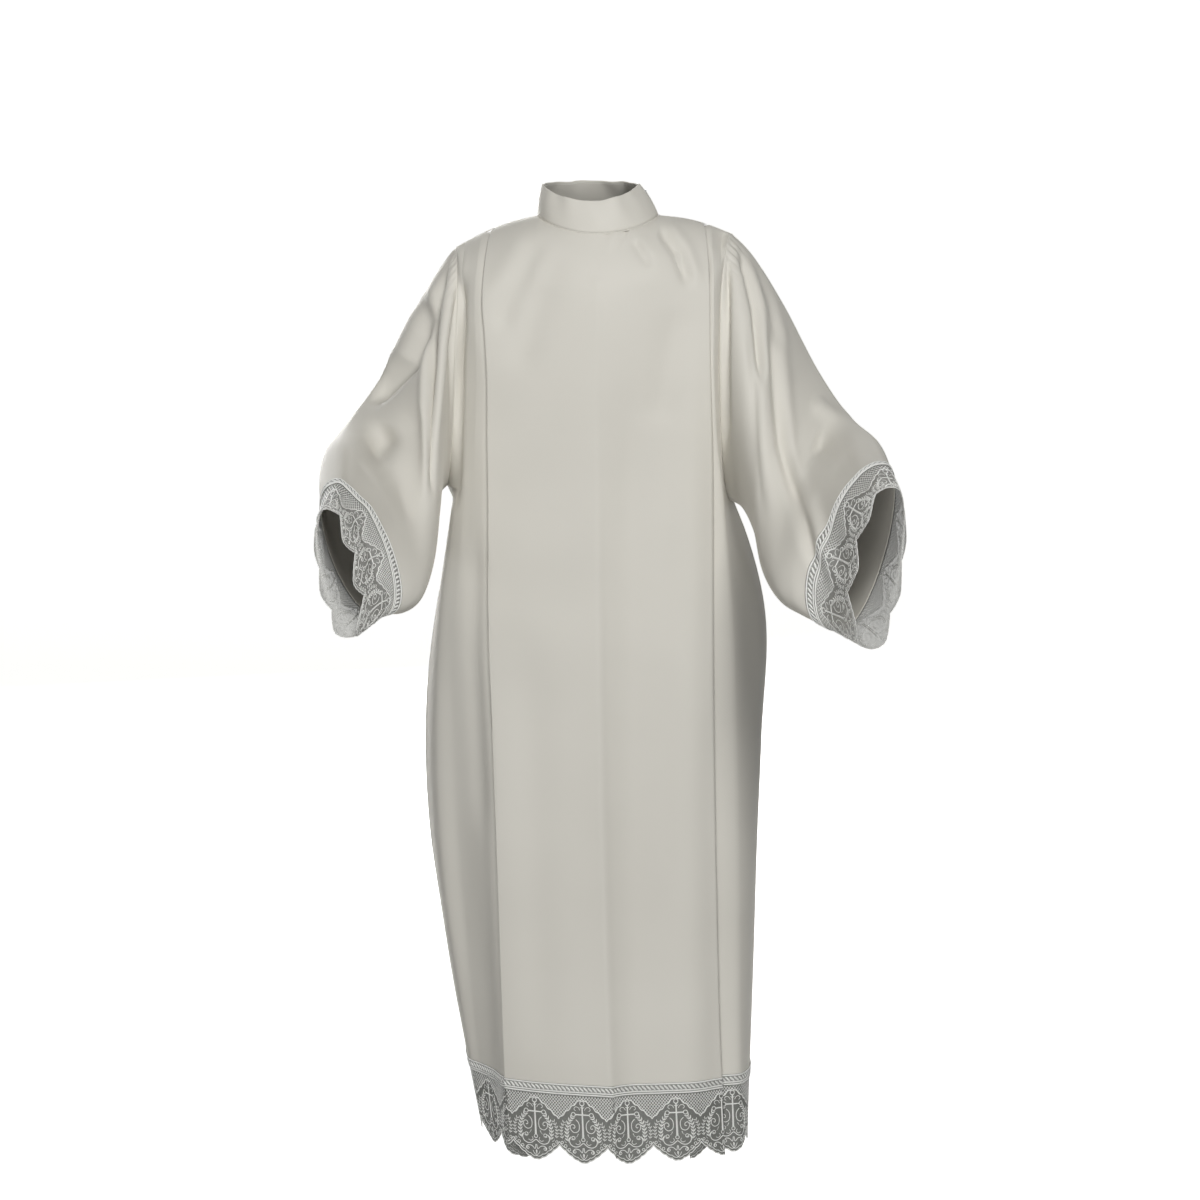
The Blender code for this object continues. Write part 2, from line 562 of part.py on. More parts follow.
def zip_strip(name, width, thickness, drop, finish):
    """A flat strip of the zip, lying below the line of the cloth by its drop."""
    path = zip_path()
    heading = unit(np.gradient(path, axis=0))
    path = path + np.stack([heading[:, 1], -heading[:, 0]], axis=-1) * drop
    sides = []
    for y in (-width / 2, width / 2):
        sides.append(np.stack([path[:, 0], np.full(len(path), y), path[:, 1]], axis=-1))
    wall(name, np.stack(sides, axis=1), thickness, finish)


def block(name, low, high, finish, guide=False):
    """A box between two corners. A guide is only a cutter or an addition, and isn't rendered."""
    mesh = bpy.data.meshes.new(name)
    corners = [(x, y, z) for x in (low[0], high[0]) for y in (low[1], high[1]) for z in (low[2], high[2])]
    sides = ((0, 1, 3, 2), (4, 6, 7, 5), (0, 4, 5, 1), (2, 3, 7, 6), (0, 2, 6, 4), (1, 5, 7, 3))
    mesh.from_pydata(corners, [], sides)
    mesh.materials.append(finish)
    made = bpy.data.objects.new(name, mesh)
    bpy.context.collection.objects.link(made)
    if guide:
        made.hide_render = True
        made.display_type = "WIRE"
    return made


def combine(target, operation, other):
    step = target.modifiers.new(other.name, "BOOLEAN")
    step.operation = operation
    step.object = other
    step.solver = "EXACT"


def build_slider(metal):
    """The zip's slider with its bail, and the pull tab that swings on it. Their X runs up the zip
    and their Z out of the cloth."""
    base, top = collar_ring(0.0, 0.0), collar_ring(0.0, 1.0)
    up = Vector(top - base).normalized()
    out = Vector((up.z, 0, -up.x))
    place = Matrix.Translation(Vector(top) - up * SLIDER_BELOW_TOP)
    frame = place @ Matrix((up, out.cross(up), out)).transposed().to_4x4()
    length, width, height = SLIDER_SIZE
    low = CHAIN_WALL / 2 - CHAIN_DROP + GAP
    high = low + height
    slider = block("zip_slider", (-length / 2, -width / 2, low), (length / 2, width / 2, high), metal)
    reach = BAIL_BORE / 2 + BAIL_BAR
    bail_low = (-reach, -BAIL_WIDTH / 2, high - GAP)
    bail_high = (reach, BAIL_WIDTH / 2, high + BAIL_BORE + BAIL_BAR)
    bail = block("bail", bail_low, bail_high, metal, guide=True)
    bore_low = (-BAIL_BORE / 2, -BAIL_WIDTH, high)
    bore_high = (BAIL_BORE / 2, BAIL_WIDTH, high + BAIL_BORE)
    bore = block("bail_bore", bore_low, bore_high, metal, guide=True)
    combine(slider, "UNION", bail)
    combine(slider, "DIFFERENCE", bore)
    half = PULL_WALL / 2
    side = BAIL_WIDTH / 2 + 2 * GAP
    pull_low = (half - PULL_LENGTH, -PULL_WIDTH / 2, -half)
    pull = block("zip_pull", pull_low, (half, PULL_WIDTH / 2, half), metal)
    window = block("pull_window", (-PULL_WINDOW, -side, -PULL_WALL), (-half, side, PULL_WALL), metal, guide=True)
    combine(pull, "DIFFERENCE", window)
    hinge = frame @ Matrix.Translation((0, 0, high + BAIL_BORE / 2))
    for made in (slider, bail, bore):
        made.matrix_world = frame
    for made in (pull, window):
        made.matrix_world = hinge


def main():
    for old in list(bpy.data.objects):
        bpy.data.objects.remove(old)
    cloth = material("polyester_satin", (0.58, 0.56, 0.52), 0.42)
    lace = material("embroidered_tulle", (0.66, 0.65, 0.62), 0.55)
    tape = material("zip_tape", (0.62, 0.61, 0.58), 0.7)
    coil = material("zip_coil", (0.72, 0.71, 0.70), 0.35)
    metal = material("nickel_plate", (0.62, 0.61, 0.62), 0.28, 1.0)
    for face in ("front", "back"):
        build_body(face, cloth, lace)
    for side in ("right", "left"):
        build_sleeve(side, cloth, lace)
    build_collar(cloth)
    zip_strip("zip_tape", TAPE_WIDTH, TAPE_WALL, TAPE_DROP, tape)
    zip_strip("zip_chain", CHAIN_WIDTH, CHAIN_WALL, CHAIN_DROP, coil)
    build_slider(metal)


main()
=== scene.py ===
import math

import bpy
import numpy as np
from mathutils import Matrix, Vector


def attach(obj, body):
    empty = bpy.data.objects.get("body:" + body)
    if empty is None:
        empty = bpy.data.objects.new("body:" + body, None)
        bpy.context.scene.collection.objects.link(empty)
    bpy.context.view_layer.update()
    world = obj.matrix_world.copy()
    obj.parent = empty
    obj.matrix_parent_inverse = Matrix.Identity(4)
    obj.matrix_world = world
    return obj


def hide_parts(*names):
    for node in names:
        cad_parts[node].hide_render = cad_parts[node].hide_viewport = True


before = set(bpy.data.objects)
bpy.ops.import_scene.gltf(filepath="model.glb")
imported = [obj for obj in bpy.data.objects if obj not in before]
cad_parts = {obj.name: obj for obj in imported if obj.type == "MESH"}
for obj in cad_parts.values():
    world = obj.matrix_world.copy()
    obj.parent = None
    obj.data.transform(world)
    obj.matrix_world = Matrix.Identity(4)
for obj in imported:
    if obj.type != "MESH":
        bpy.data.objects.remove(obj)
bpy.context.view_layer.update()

print("frame: loaded", len(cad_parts), "nodes")


def smooth(keys, values, at):
    # a cubic curve through the keys, with each slope worked out from its two neighbours
    keys, values = np.asarray(keys, float), np.asarray(values, float)
    slopes = np.gradient(values, keys)
    at = np.clip(at, keys[0], keys[-1])
    k = np.clip(np.searchsorted(keys, at, side="right") - 1, 0, len(keys) - 2)
    span = keys[k + 1] - keys[k]
    t = (at - keys[k]) / span
    start = (1 + 2 * t) * (1 - t) ** 2 * values[k] + t * (1 - t) ** 2 * span * slopes[k]
    end = t * t * (3 - 2 * t) * values[k + 1] + t * t * (t - 1) * span * slopes[k + 1]
    return start + end


def unit(vectors):
    # each vector divided by its own length
    return vectors / np.maximum(np.linalg.norm(vectors, axis=-1, keepdims=True), 1e-9)


def lengthAlong(points):
    # running length of a line of points, starting at 0
    steps = np.linalg.norm(np.diff(points, axis=0), axis=-1)
    return np.concatenate([[0], np.cumsum(steps)])


def alongLine(at, run, values):
    # each column of values at these running lengths, by straight lines between its rows
    return np.stack([np.interp(at, run, column) for column in np.transpose(values)], axis=-1)


def gridFaces(rows, columns, closed=False):
    # one quad between each four neighbours, and one more column of them when it closes
    across = columns if closed else columns - 1
    r, c = np.meshgrid(np.arange(rows - 1), np.arange(across), indexing="ij")
    after = (c + 1) % columns
    quads = np.stack([r * columns + c, r * columns + after,
                      (r + 1) * columns + after, (r + 1) * columns + c], axis=-1)
    return quads.reshape(-1, 4)


def repeatFaces(faces, times, points):
    # the same faces for each copy of the points, numbered on from the copy before
    return (faces + np.arange(times)[:, None, None] * points).reshape(-1, 4)


def addMesh(name, points, faces, finish, uv=None, thickness=0.0):
    # a piece at the origin with its place in its mesh, and with half its wall on each side
    mesh = bpy.data.meshes.new(name)
    mesh.from_pydata(points.reshape(-1, 3).tolist(), [], faces.tolist())
    if uv is not None:
        layer = mesh.uv_layers.new(name="cloth")
        layer.data.foreach_set("uv", uv.reshape(-1, 2)[faces.reshape(-1)].astype(np.float32).ravel())
    mesh.shade_smooth()
    mesh.materials.append(finish)
    piece = bpy.data.objects.new(name, mesh)
    bpy.context.collection.objects.link(piece)
    if thickness:
        wall = piece.modifiers.new("wall", "SOLIDIFY")
        wall.thickness = thickness
        wall.offset = 0.0
    return piece


def gridUv(grid):
    # metres across and metres down, each by the mean step of its columns or rows
    across = np.linalg.norm(np.diff(grid, axis=1), axis=-1).mean(axis=0)
    down = np.linalg.norm(np.diff(grid, axis=0), axis=-1).mean(axis=1)
    u = np.concatenate([[0], np.cumsum(across)])
    v = np.concatenate([[0], np.cumsum(down)])
    return np.stack(np.meshgrid(u, -v), axis=-1)


def closeRing(grid):
    # the grid with its first column again at the end
    return np.concatenate([grid, grid[:, :1]], axis=1)


def gridArea(grid, closed=False):
    # the cross product of both edges at each quad's first corner, summed
    ring = closeRing(grid) if closed else grid
    a, b = np.diff(ring, axis=0)[:, :-1], np.diff(ring, axis=1)[:-1]
    return float(np.linalg.norm(np.cross(a, b), axis=-1).sum())


def toLinear(hexColour):
    # sRGB hex to linear light
    parts = [int(hexColour[k:k + 2], 16) / 255 for k in (1, 3, 5)]
    linear = [c / 12.92 if c <= 0.04045 else ((c + 0.055) / 1.055) ** 2.4 for c in parts]
    return (*linear, 1.0)


def addNode(tree, kind, values=None, links=None, stops=(), **settings):
    # one node, its settings, its socket values, what feeds it, and a ramp's places and colours
    node = tree.nodes.new(kind)
    for key, value in settings.items():
        setattr(node, key, value)
    for key, value in (values or {}).items():
        node.inputs[key].default_value = value
    for key, source in (links or {}).items():
        tree.links.new(source, node.inputs[key])
    for k, (place, colour) in enumerate(stops):
        stop = node.color_ramp.elements[k]
        stop.position = place
        stop.color = toLinear(colour) if isinstance(colour, str) else (colour, colour, colour, 1)
    return node


def newFinish(name, **sockets):
    # a material with these values on its shader's sockets
    made = bpy.data.materials.new(name)
    made.use_nodes = True
    shader = made.node_tree.nodes["Principled BSDF"]
    for key, value in sockets.items():
        shader.inputs[key.replace("_", " ")].default_value = value
    return made, made.node_tree, shader


def colourAndRelief(tree, shader, height, look, socket="Base Color"):
    # a pattern's height as two shades on one socket, and as fine relief. On the colour socket the low places
    # take the darker shade, which is painted shade
    if "shades" in look:
        shade = addNode(tree, "ShaderNodeValToRGB", links={"Fac": height}, stops=look["shades"])
        tree.links.new(shade.outputs["Color"], shader.inputs[socket])
    deep = {"Strength": look["relief"], "Distance": look["reliefMm"] / 1000}
    relief = addNode(tree, "ShaderNodeBump", deep, {"Height": height})
    tree.links.new(relief.outputs["Normal"], shader.inputs["Normal"])


fullTurn = 6.283   # radians, which the wave texture's scale counts to one thread
satinLook = {
    "shades": [(0.3, "#cbc8bf"), (0.7, "#d2cfc6")], "shadeMm": 260,
    "roughness": 0.58, "gloss": 0.30, "sheen": 0.30, "sheenTint": "#fbf7ee",
    "threadMm": 1.1,     # real thread spacing is 0.25 mm, drawn coarser so that it shows
    "weave": 0.10, "weaveMm": 0.2, "crumpleMm": 90.0, "crumple": 0.10, "crumpleDeepMm": 10.0,
}
threadLook = {"colour": "#ebebe7", "roughness": 0.40, "gloss": 0.55, "sheen": 0.25, "threadMm": 0.9,
              "relief": 0.35, "reliefMm": 0.3}
# the tulle is white; its greys here are painted shade for what is seen through it, dark at the hem and
# lighter at the cuffs
tulleLook = {
    "hem": {"alpha": 0.90, "holeMm": 1.8, "uneven": 0.25, "shades": [(0.25, "#62635f"), (0.62, "#82837e")],
            "relief": 0.3, "reliefMm": 0.3},
    "cuff": {"alpha": 0.48, "holeMm": 1.8, "uneven": 0.25, "shades": [(0.25, "#a4a4a0"), (0.62, "#c6c6c1")],
             "relief": 0.3, "reliefMm": 0.3},
}
# the band's greys are painted shade: darker than its light cloth, so that the gaps between the dashes read as
# dark lines
bandLook = {"holeMm": 1.6, "uneven": 0.3, "shades": [(0.2, "#83847f"), (0.7, "#9c9c97")],
            "relief": 0.4, "reliefMm": 0.4}
# the tape is one colour; its darker grey in the ribs' grooves is painted shade
tapeLook = {"ribMm": 0.8, "shades": [(0.2, "#c9c7c1"), (0.8, "#dedcd6")], "relief": 0.5, "reliefMm": 0.3}
coilLook = {"colour": "#dcdbd8", "roughness": 0.32, "grainsPerMm": 1.5, "relief": 0.1, "reliefMm": 0.2}
nickelLook = {"colour": "#b9b7bd", "spotsPerMm": 0.9, "shades": [(0.35, 0.18), (0.7, 0.38)],
              "relief": 0.08, "reliefMm": 0.2}


def polyesterSatin(look):
    # satin-faced polyester, woven and pressed: a soft gloss with faint vertical threads
    made, tree, shader = newFinish("polyesterSatinWoven", Roughness=look["roughness"],
                                   Sheen_Weight=look["sheen"], Sheen_Roughness=0.45,
                                   Specular_IOR_Level=look["gloss"], IOR=1.5,
                                   Sheen_Tint=toLinear(look["sheenTint"]))
    place = addNode(tree, "ShaderNodeTexCoord").outputs["Object"]
    cloud = addNode(tree, "ShaderNodeTexNoise", {"Scale": 1000 / look["shadeMm"], "Detail": 2.0},
                    {"Vector": place})
    shade = addNode(tree, "ShaderNodeValToRGB", links={"Fac": cloud.outputs["Fac"]}, stops=look["shades"])
    tree.links.new(shade.outputs["Color"], shader.inputs["Base Color"])
    cloth = addNode(tree, "ShaderNodeUVMap", uv_map="cloth").outputs["UV"]
    warp = addNode(tree, "ShaderNodeTexWave", {"Scale": 1000 / look["threadMm"] / fullTurn,
                   "Distortion": 1.2, "Detail": 2.0, "Detail Scale": 3.0}, {"Vector": cloth},
                   bands_direction="DIAGONAL")
    crumple = addNode(tree, "ShaderNodeTexNoise", {"Scale": 1000 / look["crumpleMm"], "Detail": 3.0,
                      "Roughness": 0.4}, {"Vector": place})
    fine = addNode(tree, "ShaderNodeBump", {"Strength": look["weave"], "Distance": look["weaveMm"] / 1000},
                   {"Height": warp.outputs["Fac"]})
    soft = addNode(tree, "ShaderNodeBump", {"Strength": look["crumple"],
                   "Distance": look["crumpleDeepMm"] / 1000},
                   {"Height": crumple.outputs["Fac"], "Normal": fine.outputs["Normal"]})
    tree.links.new(soft.outputs["Normal"], shader.inputs["Normal"])
    return made


def rayonStitch(look):
    # rayon satin stitch: bright, close parallel threads that lie across each stroke
    made, tree, shader = newFinish("rayonSatinStitch", Base_Color=toLinear(look["colour"]),
                                   Roughness=look["roughness"], Sheen_Weight=look["sheen"],
                                   Sheen_Roughness=0.4, Specular_IOR_Level=look["gloss"])
    cloth = addNode(tree, "ShaderNodeUVMap", uv_map="cloth").outputs["UV"]
    stitch = addNode(tree, "ShaderNodeTexWave", {"Scale": 1000 / look["threadMm"] / fullTurn,
                     "Distortion": 0.6, "Detail": 1.0}, {"Vector": cloth}, bands_direction="X")
    colourAndRelief(tree, shader, stitch.outputs["Fac"], look)
    return made


def nylonTulle(name, look, **sockets):
    # nylon tulle, bobbin-made: its holes are drawn as cells of two greys, the holes darker as painted shade,
    # with the thread raised
    made, tree, shader = newFinish(name, Roughness=0.6, **sockets)
    cloth = addNode(tree, "ShaderNodeUVMap", uv_map="cloth").outputs["UV"]
    holes = addNode(tree, "ShaderNodeTexVoronoi", {"Scale": 1000 / look["holeMm"],
                    "Randomness": look["uneven"]}, {"Vector": cloth})
    colourAndRelief(tree, shader, holes.outputs["Distance"], look)
    return made


def zipTapeTwill(look):
    # polyester twill tape, woven: matt, with fine diagonal ribs whose grooves are painted darker, painted
    # shade
    made, tree, shader = newFinish("twillTapeRibsPaintedShade", Roughness=0.75, Sheen_Weight=0.15)
    place = addNode(tree, "ShaderNodeTexCoord").outputs["Object"]
    rib = addNode(tree, "ShaderNodeTexWave", {"Scale": 1000 / look["ribMm"] / fullTurn, "Distortion": 0.5},
                  {"Vector": place}, bands_direction="DIAGONAL")
    colourAndRelief(tree, shader, rib.outputs["Fac"], look)
    return made


def nylonCoil(look):
    # moulded nylon zip coil: slightly clear, soft highlights
    made, tree, shader = newFinish("nylonCoilMoulded", Base_Color=toLinear(look["colour"]),
                                   Roughness=look["roughness"], Specular_IOR_Level=0.5)
    place = addNode(tree, "ShaderNodeTexCoord").outputs["Object"]
    grain = addNode(tree, "ShaderNodeTexNoise", {"Scale": 1000 * look["grainsPerMm"], "Detail": 2.0},
                    {"Vector": place})
    colourAndRelief(tree, shader, grain.outputs["Fac"], look)
    return made


def nickelPlate(look):
    # nickel-plated die casting: bright, with small wear that dulls it in patches
    made, tree, shader = newFinish("nickelPlatedCast", Base_Color=toLinear(look["colour"]), Metallic=1.0)
    place = addNode(tree, "ShaderNodeTexCoord").outputs["Object"]
    wear = addNode(tree, "ShaderNodeTexNoise", {"Scale": 1000 * look["spotsPerMm"], "Detail": 4.0},
                   {"Vector": place})
    colourAndRelief(tree, shader, wear.outputs["Fac"], look, socket="Roughness")
    return made


satin = polyesterSatin(satinLook)
thread = rayonStitch(threadLook)
# a single veil at the hem, painted a nearly opaque dark grey as painted shade for the dark seen through the
# white tulle, and a clearer, lighter grey one at the cuffs, where it is seen twice over
tulle = {
    "hem": nylonTulle("nylonTulleHemPaintedShade", tulleLook["hem"], Alpha=tulleLook["hem"]["alpha"],
                      Specular_IOR_Level=0.3),
    "cuff": nylonTulle("nylonTulleCuffLighterPaintedShade", tulleLook["cuff"], Alpha=tulleLook["cuff"]["alpha"],
                       Specular_IOR_Level=0.3),
}
# the band's tulle in painted shade, a dark grey between its dashes
band = nylonTulle("tulleBandPaintedShade", bandLook, Sheen_Weight=0.2)   # close stitched over the hem
tapeTwill = zipTapeTwill(tapeLook)
coilNylon = nylonCoil(coilLook)
nickel = nickelPlate(nickelLook)
print("materials: eight ready")


# The worn form, in metres: +X is the wearer's left and -Y the front. Each x in these tables runs
# outward from the middle. The station is where the neckline meets the shoulder seam.
neck = {
    "half": 0.086, "depth": {"front": 0.078, "back": 0.068},
    "z": {"front": -0.017, "side": 0.009, "back": 0.020}, "station": 0.555,
    "shoulderEdgeX": 0.150, "swell": 0.006, "blendDrop": 0.10,
}
pleat = {
    "layer": 0.0030, "layerAtShoulder": 0.0022, "depth": 0.052,
    "sink": {("front", "right"): 0.0, ("front", "left"): 2.0, ("back", "right"): 0.5, ("back", "left"): 0.5},
}
hem = {"z": -1.240, "dip": 0.002, "dipHalf": 0.2}
sign = {"left": 1.0, "right": -1.0}
outward = {"front": -1.0, "back": 1.0}

# z, then the middle's x and its y in front and behind
middleForm = (
    (-0.10, 0.000, -0.122, 0.104), (-0.22, 0.000, -0.140, 0.126), (-0.38, 0.002, -0.146, 0.124),
    (-0.55, 0.003, -0.149, 0.130), (-0.75, 0.006, -0.154, 0.138), (-0.95, 0.012, -0.162, 0.145),
    (-1.15, 0.019, -0.176, 0.150), (-1.36, 0.027, -0.192, 0.156),
)
# z, then x and y of the pleat edge, of the ridge beside it, of the dip behind that, and of the side
frontForm = {
    "left": (
        (-0.02, 0.157, -0.080, 0.1630, -0.0680, 0.1675, -0.0520, 0.1712, -0.0350),
        (-0.04, 0.157, -0.082, 0.1630, -0.0765, 0.1680, -0.0705, 0.1715, -0.0635),
        (-0.10, 0.157, -0.096, 0.1630, -0.0915, 0.1680, -0.0860, 0.1720, -0.0790),
        (-0.22, 0.157, -0.116, 0.1620, -0.1110, 0.1660, -0.1050, 0.1690, -0.0975),
        (-0.30, 0.158, -0.122, 0.1660, -0.1130, 0.1700, -0.1030, 0.1725, -0.0930),
        (-0.38, 0.159, -0.126, 0.1750, -0.1140, 0.1775, -0.0980, 0.1800, -0.0720),
        (-0.55, 0.160, -0.130, 0.1900, -0.1140, 0.2080, -0.0850, 0.2360, -0.0400),
        (-0.75, 0.163, -0.134, 0.1980, -0.1140, 0.2200, -0.0820, 0.2370, -0.0400),
        (-0.95, 0.168, -0.138, 0.2030, -0.1160, 0.2240, -0.0840, 0.2320, -0.0400),
        (-1.15, 0.174, -0.146, 0.2050, -0.1280, 0.2220, -0.0940, 0.2260, -0.0420),
        (-1.36, 0.185, -0.156, 0.2100, -0.1400, 0.2190, -0.1060, 0.2150, -0.0460),
    ),
    "right": (
        (-0.02, 0.162, -0.080, 0.1730, -0.0680, 0.1820, -0.0520, 0.1900, -0.0350),
        (-0.04, 0.162, -0.082, 0.1730, -0.0750, 0.1830, -0.0680, 0.1920, -0.0610),
        (-0.10, 0.162, -0.096, 0.1740, -0.0870, 0.1850, -0.0780, 0.1950, -0.0700),
        (-0.22, 0.156, -0.114, 0.1720, -0.1010, 0.1850, -0.0910, 0.1960, -0.0820),
        (-0.30, 0.156, -0.120, 0.1740, -0.1060, 0.1880, -0.0950, 0.1990, -0.0850),
        (-0.38, 0.155, -0.125, 0.1770, -0.1070, 0.1920, -0.0960, 0.2060, -0.0800),
        (-0.55, 0.156, -0.130, 0.1820, -0.1080, 0.2070, -0.0880, 0.2280, -0.0620),
        (-0.75, 0.150, -0.134, 0.1740, -0.1040, 0.2060, -0.0740, 0.2370, -0.0500),
        (-0.95, 0.144, -0.138, 0.1680, -0.1000, 0.1980, -0.0660, 0.2290, -0.0440),
        (-1.15, 0.138, -0.146, 0.1560, -0.1060, 0.1800, -0.0760, 0.2020, -0.0540),
        (-1.36, 0.129, -0.156, 0.1420, -0.1180, 0.1550, -0.0900, 0.1660, -0.0660),
    ),
}
# the same for both sides of the back, where all x but the pleat edge's are shares of the seam's
backForm = (
    (-0.02, 0.150, 0.071, 0.870, 0.0620, 0.930, 0.0500, 0.980, 0.0350),
    (-0.04, 0.150, 0.073, 0.870, 0.0705, 0.930, 0.0670, 0.980, 0.0620),
    (-0.10, 0.150, 0.084, 0.890, 0.0825, 0.945, 0.0800, 0.985, 0.0755),
    (-0.22, 0.146, 0.106, 0.880, 0.1025, 0.940, 0.0990, 0.985, 0.0930),
    (-0.38, 0.143, 0.108, 0.850, 0.1020, 0.920, 0.0900, 0.970, 0.0660),
    (-0.55, 0.142, 0.116, 0.800, 0.1120, 0.870, 0.0920, 0.950, 0.0780),
    (-0.75, 0.141, 0.122, 0.800, 0.1200, 0.860, 0.0960, 0.945, 0.0820),
    (-0.95, 0.139, 0.128, 0.800, 0.1270, 0.860, 0.1000, 0.940, 0.0850),
    (-1.15, 0.137, 0.133, 0.820, 0.1320, 0.870, 0.1040, 0.940, 0.0850),
    (-1.36, 0.128, 0.138, 0.840, 0.1360, 0.880, 0.1080, 0.940, 0.0850),
)
# z, x and y of the side seams below the underarm
seamForm = {
    "left": ((-0.400, 0.196, -0.016), (-0.450, 0.216, 0.010), (-0.550, 0.243, 0.022),
             (-0.750, 0.242, 0.026), (-0.950, 0.224, 0.028), (-1.150, 0.214, 0.026),
             (-1.360, 0.204, 0.022)),
    "right": ((-0.378, 0.219, -0.008), (-0.395, 0.212, 0.000), (-0.450, 0.215, 0.008), (-0.550, 0.235, 0.014),
              (-0.670, 0.251, 0.018), (-0.890, 0.250, 0.020), (-1.020, 0.233, 0.020),
              (-1.150, 0.213, 0.018), (-1.360, 0.170, 0.012)),
}
# along the sleeve, then x, y, z of its top, front, low and back points
sleeveForm = {
    "left": (
        (0.00, 0.193, 0.000, -0.018, 0.171, -0.090, -0.21, 0.196, -0.016, -0.400, 0.178, 0.082, -0.21),
        (0.16, 0.224, 0.004, -0.050, 0.193, -0.126, -0.23, 0.213, -0.048, -0.408, 0.214, 0.078, -0.22),
        (0.34, 0.270, 0.004, -0.123, 0.218, -0.175, -0.29, 0.232, -0.118, -0.438, 0.262, 0.060, -0.28),
        (0.52, 0.318, -0.020, -0.214, 0.232, -0.232, -0.37, 0.252, -0.198, -0.482, 0.303, 0.030, -0.38),
        (0.68, 0.357, -0.070, -0.273, 0.247, -0.282, -0.41, 0.279, -0.262, -0.510, 0.347, -0.050, -0.41),
        (0.84, 0.381, -0.210, -0.295, 0.270, -0.325, -0.42, 0.301, -0.316, -0.524, 0.376, -0.205, -0.43),
        (1.00, 0.378, -0.355, -0.316, 0.299, -0.360, -0.43, 0.322, -0.362, -0.537, 0.384, -0.350, -0.43),
        (1.50, 0.384, -0.455, -0.338, 0.343, -0.465, -0.44, 0.362, -0.463, -0.552, 0.398, -0.450, -0.45),
    ),
    "right": (
        (0.00, 0.203, 0.000, -0.036, 0.203, -0.076, -0.21, 0.219, -0.008, -0.378, 0.190, 0.080, -0.21),
        (0.16, 0.229, 0.004, -0.068, 0.214, -0.114, -0.23, 0.229, -0.032, -0.388, 0.218, 0.078, -0.22),
        (0.34, 0.270, 0.004, -0.136, 0.224, -0.165, -0.29, 0.236, -0.092, -0.420, 0.256, 0.060, -0.28),
        (0.52, 0.313, -0.020, -0.222, 0.232, -0.222, -0.37, 0.252, -0.168, -0.474, 0.300, 0.030, -0.37),
        (0.68, 0.350, -0.070, -0.277, 0.243, -0.278, -0.42, 0.274, -0.242, -0.505, 0.342, -0.050, -0.40),
        (0.84, 0.357, -0.210, -0.304, 0.260, -0.322, -0.43, 0.285, -0.306, -0.518, 0.370, -0.205, -0.41),
        (1.00, 0.350, -0.355, -0.342, 0.286, -0.360, -0.42, 0.287, -0.362, -0.518, 0.356, -0.350, -0.44),
        (1.50, 0.354, -0.455, -0.366, 0.325, -0.462, -0.45, 0.326, -0.460, -0.540, 0.364, -0.450, -0.46),
    ),
}
ringFullness = 0.88   # under 1 makes a sleeve's section rounder than a lens


def formColumn(table, k, at):
    # one column of a table as a smooth curve over its first column
    return smooth([row[0] for row in table], [row[k] for row in table], at)


def downTable(table, k, z):
    # a table whose first column is a falling height
    return formColumn(table[::-1], k, z)


def ringPoint(side, along, angle):
    # middle of the ring, plus half its height by the cosine, plus its belly by the sine
    along, angle = np.broadcast_arrays(np.asarray(along, float), np.asarray(angle, float))
    corner = [np.stack([formColumn(sleeveForm[side], 1 + 3 * k + axis, along) for axis in range(3)], axis=-1)
              for k in range(4)]
    top, front, low, back = corner
    middle = (top + low) / 2
    swing = np.sin(angle)[..., None]
    belly = np.where(swing >= 0, front, back) - middle
    point = middle + (top - low) / 2 * np.cos(angle)[..., None] + belly * np.abs(swing) ** ringFullness
    return point * (sign[side], 1, 1)


def seamStations(side, face, z):
    # the armhole's curve above the underarm, the side seam below it
    top, low = sleeveForm[side][0][3], sleeveForm[side][0][9]
    turn = np.arccos(np.clip((2 * z - top - low) / (top - low), -1, 1))
    armhole = ringPoint(side, 0, -outward[face] * turn)
    x = np.where(z > low, armhole[..., 0] * sign[side], downTable(seamForm[side], 1, z))
    y = np.where(z > low, armhole[..., 1], downTable(seamForm[side], 2, z))
    return x, y


backEase = (-0.06, -0.04, -0.02, 0.0, 0.02, 0.04, 0.06)   # heights that the back's width is a mean of


def section(side, face, z):
    # six stations: the middle, pleat edge, ridge, dip, side and seam
    table = frontForm[side] if face == "front" else backForm
    seamX, seamY = seamStations(side, face, z)
    # so that the back turns softly under the armhole
    wide = sum(seamStations(side, face, z + ease)[0] for ease in backEase) / len(backEase)
    xs = [downTable(middleForm, 1, z) * sign[side]]
    ys = [downTable(middleForm, 2 if face == "front" else 3, z)]
    for k in range(4):
        scale = wide if face == "back" and k else 1
        xs.append(downTable(table, 1 + 2 * k, z) * scale)
        ys.append(downTable(table, 2 + 2 * k, z))
    return np.stack([np.array(xs + [seamX]), np.array(ys + [seamY])], axis=-1)


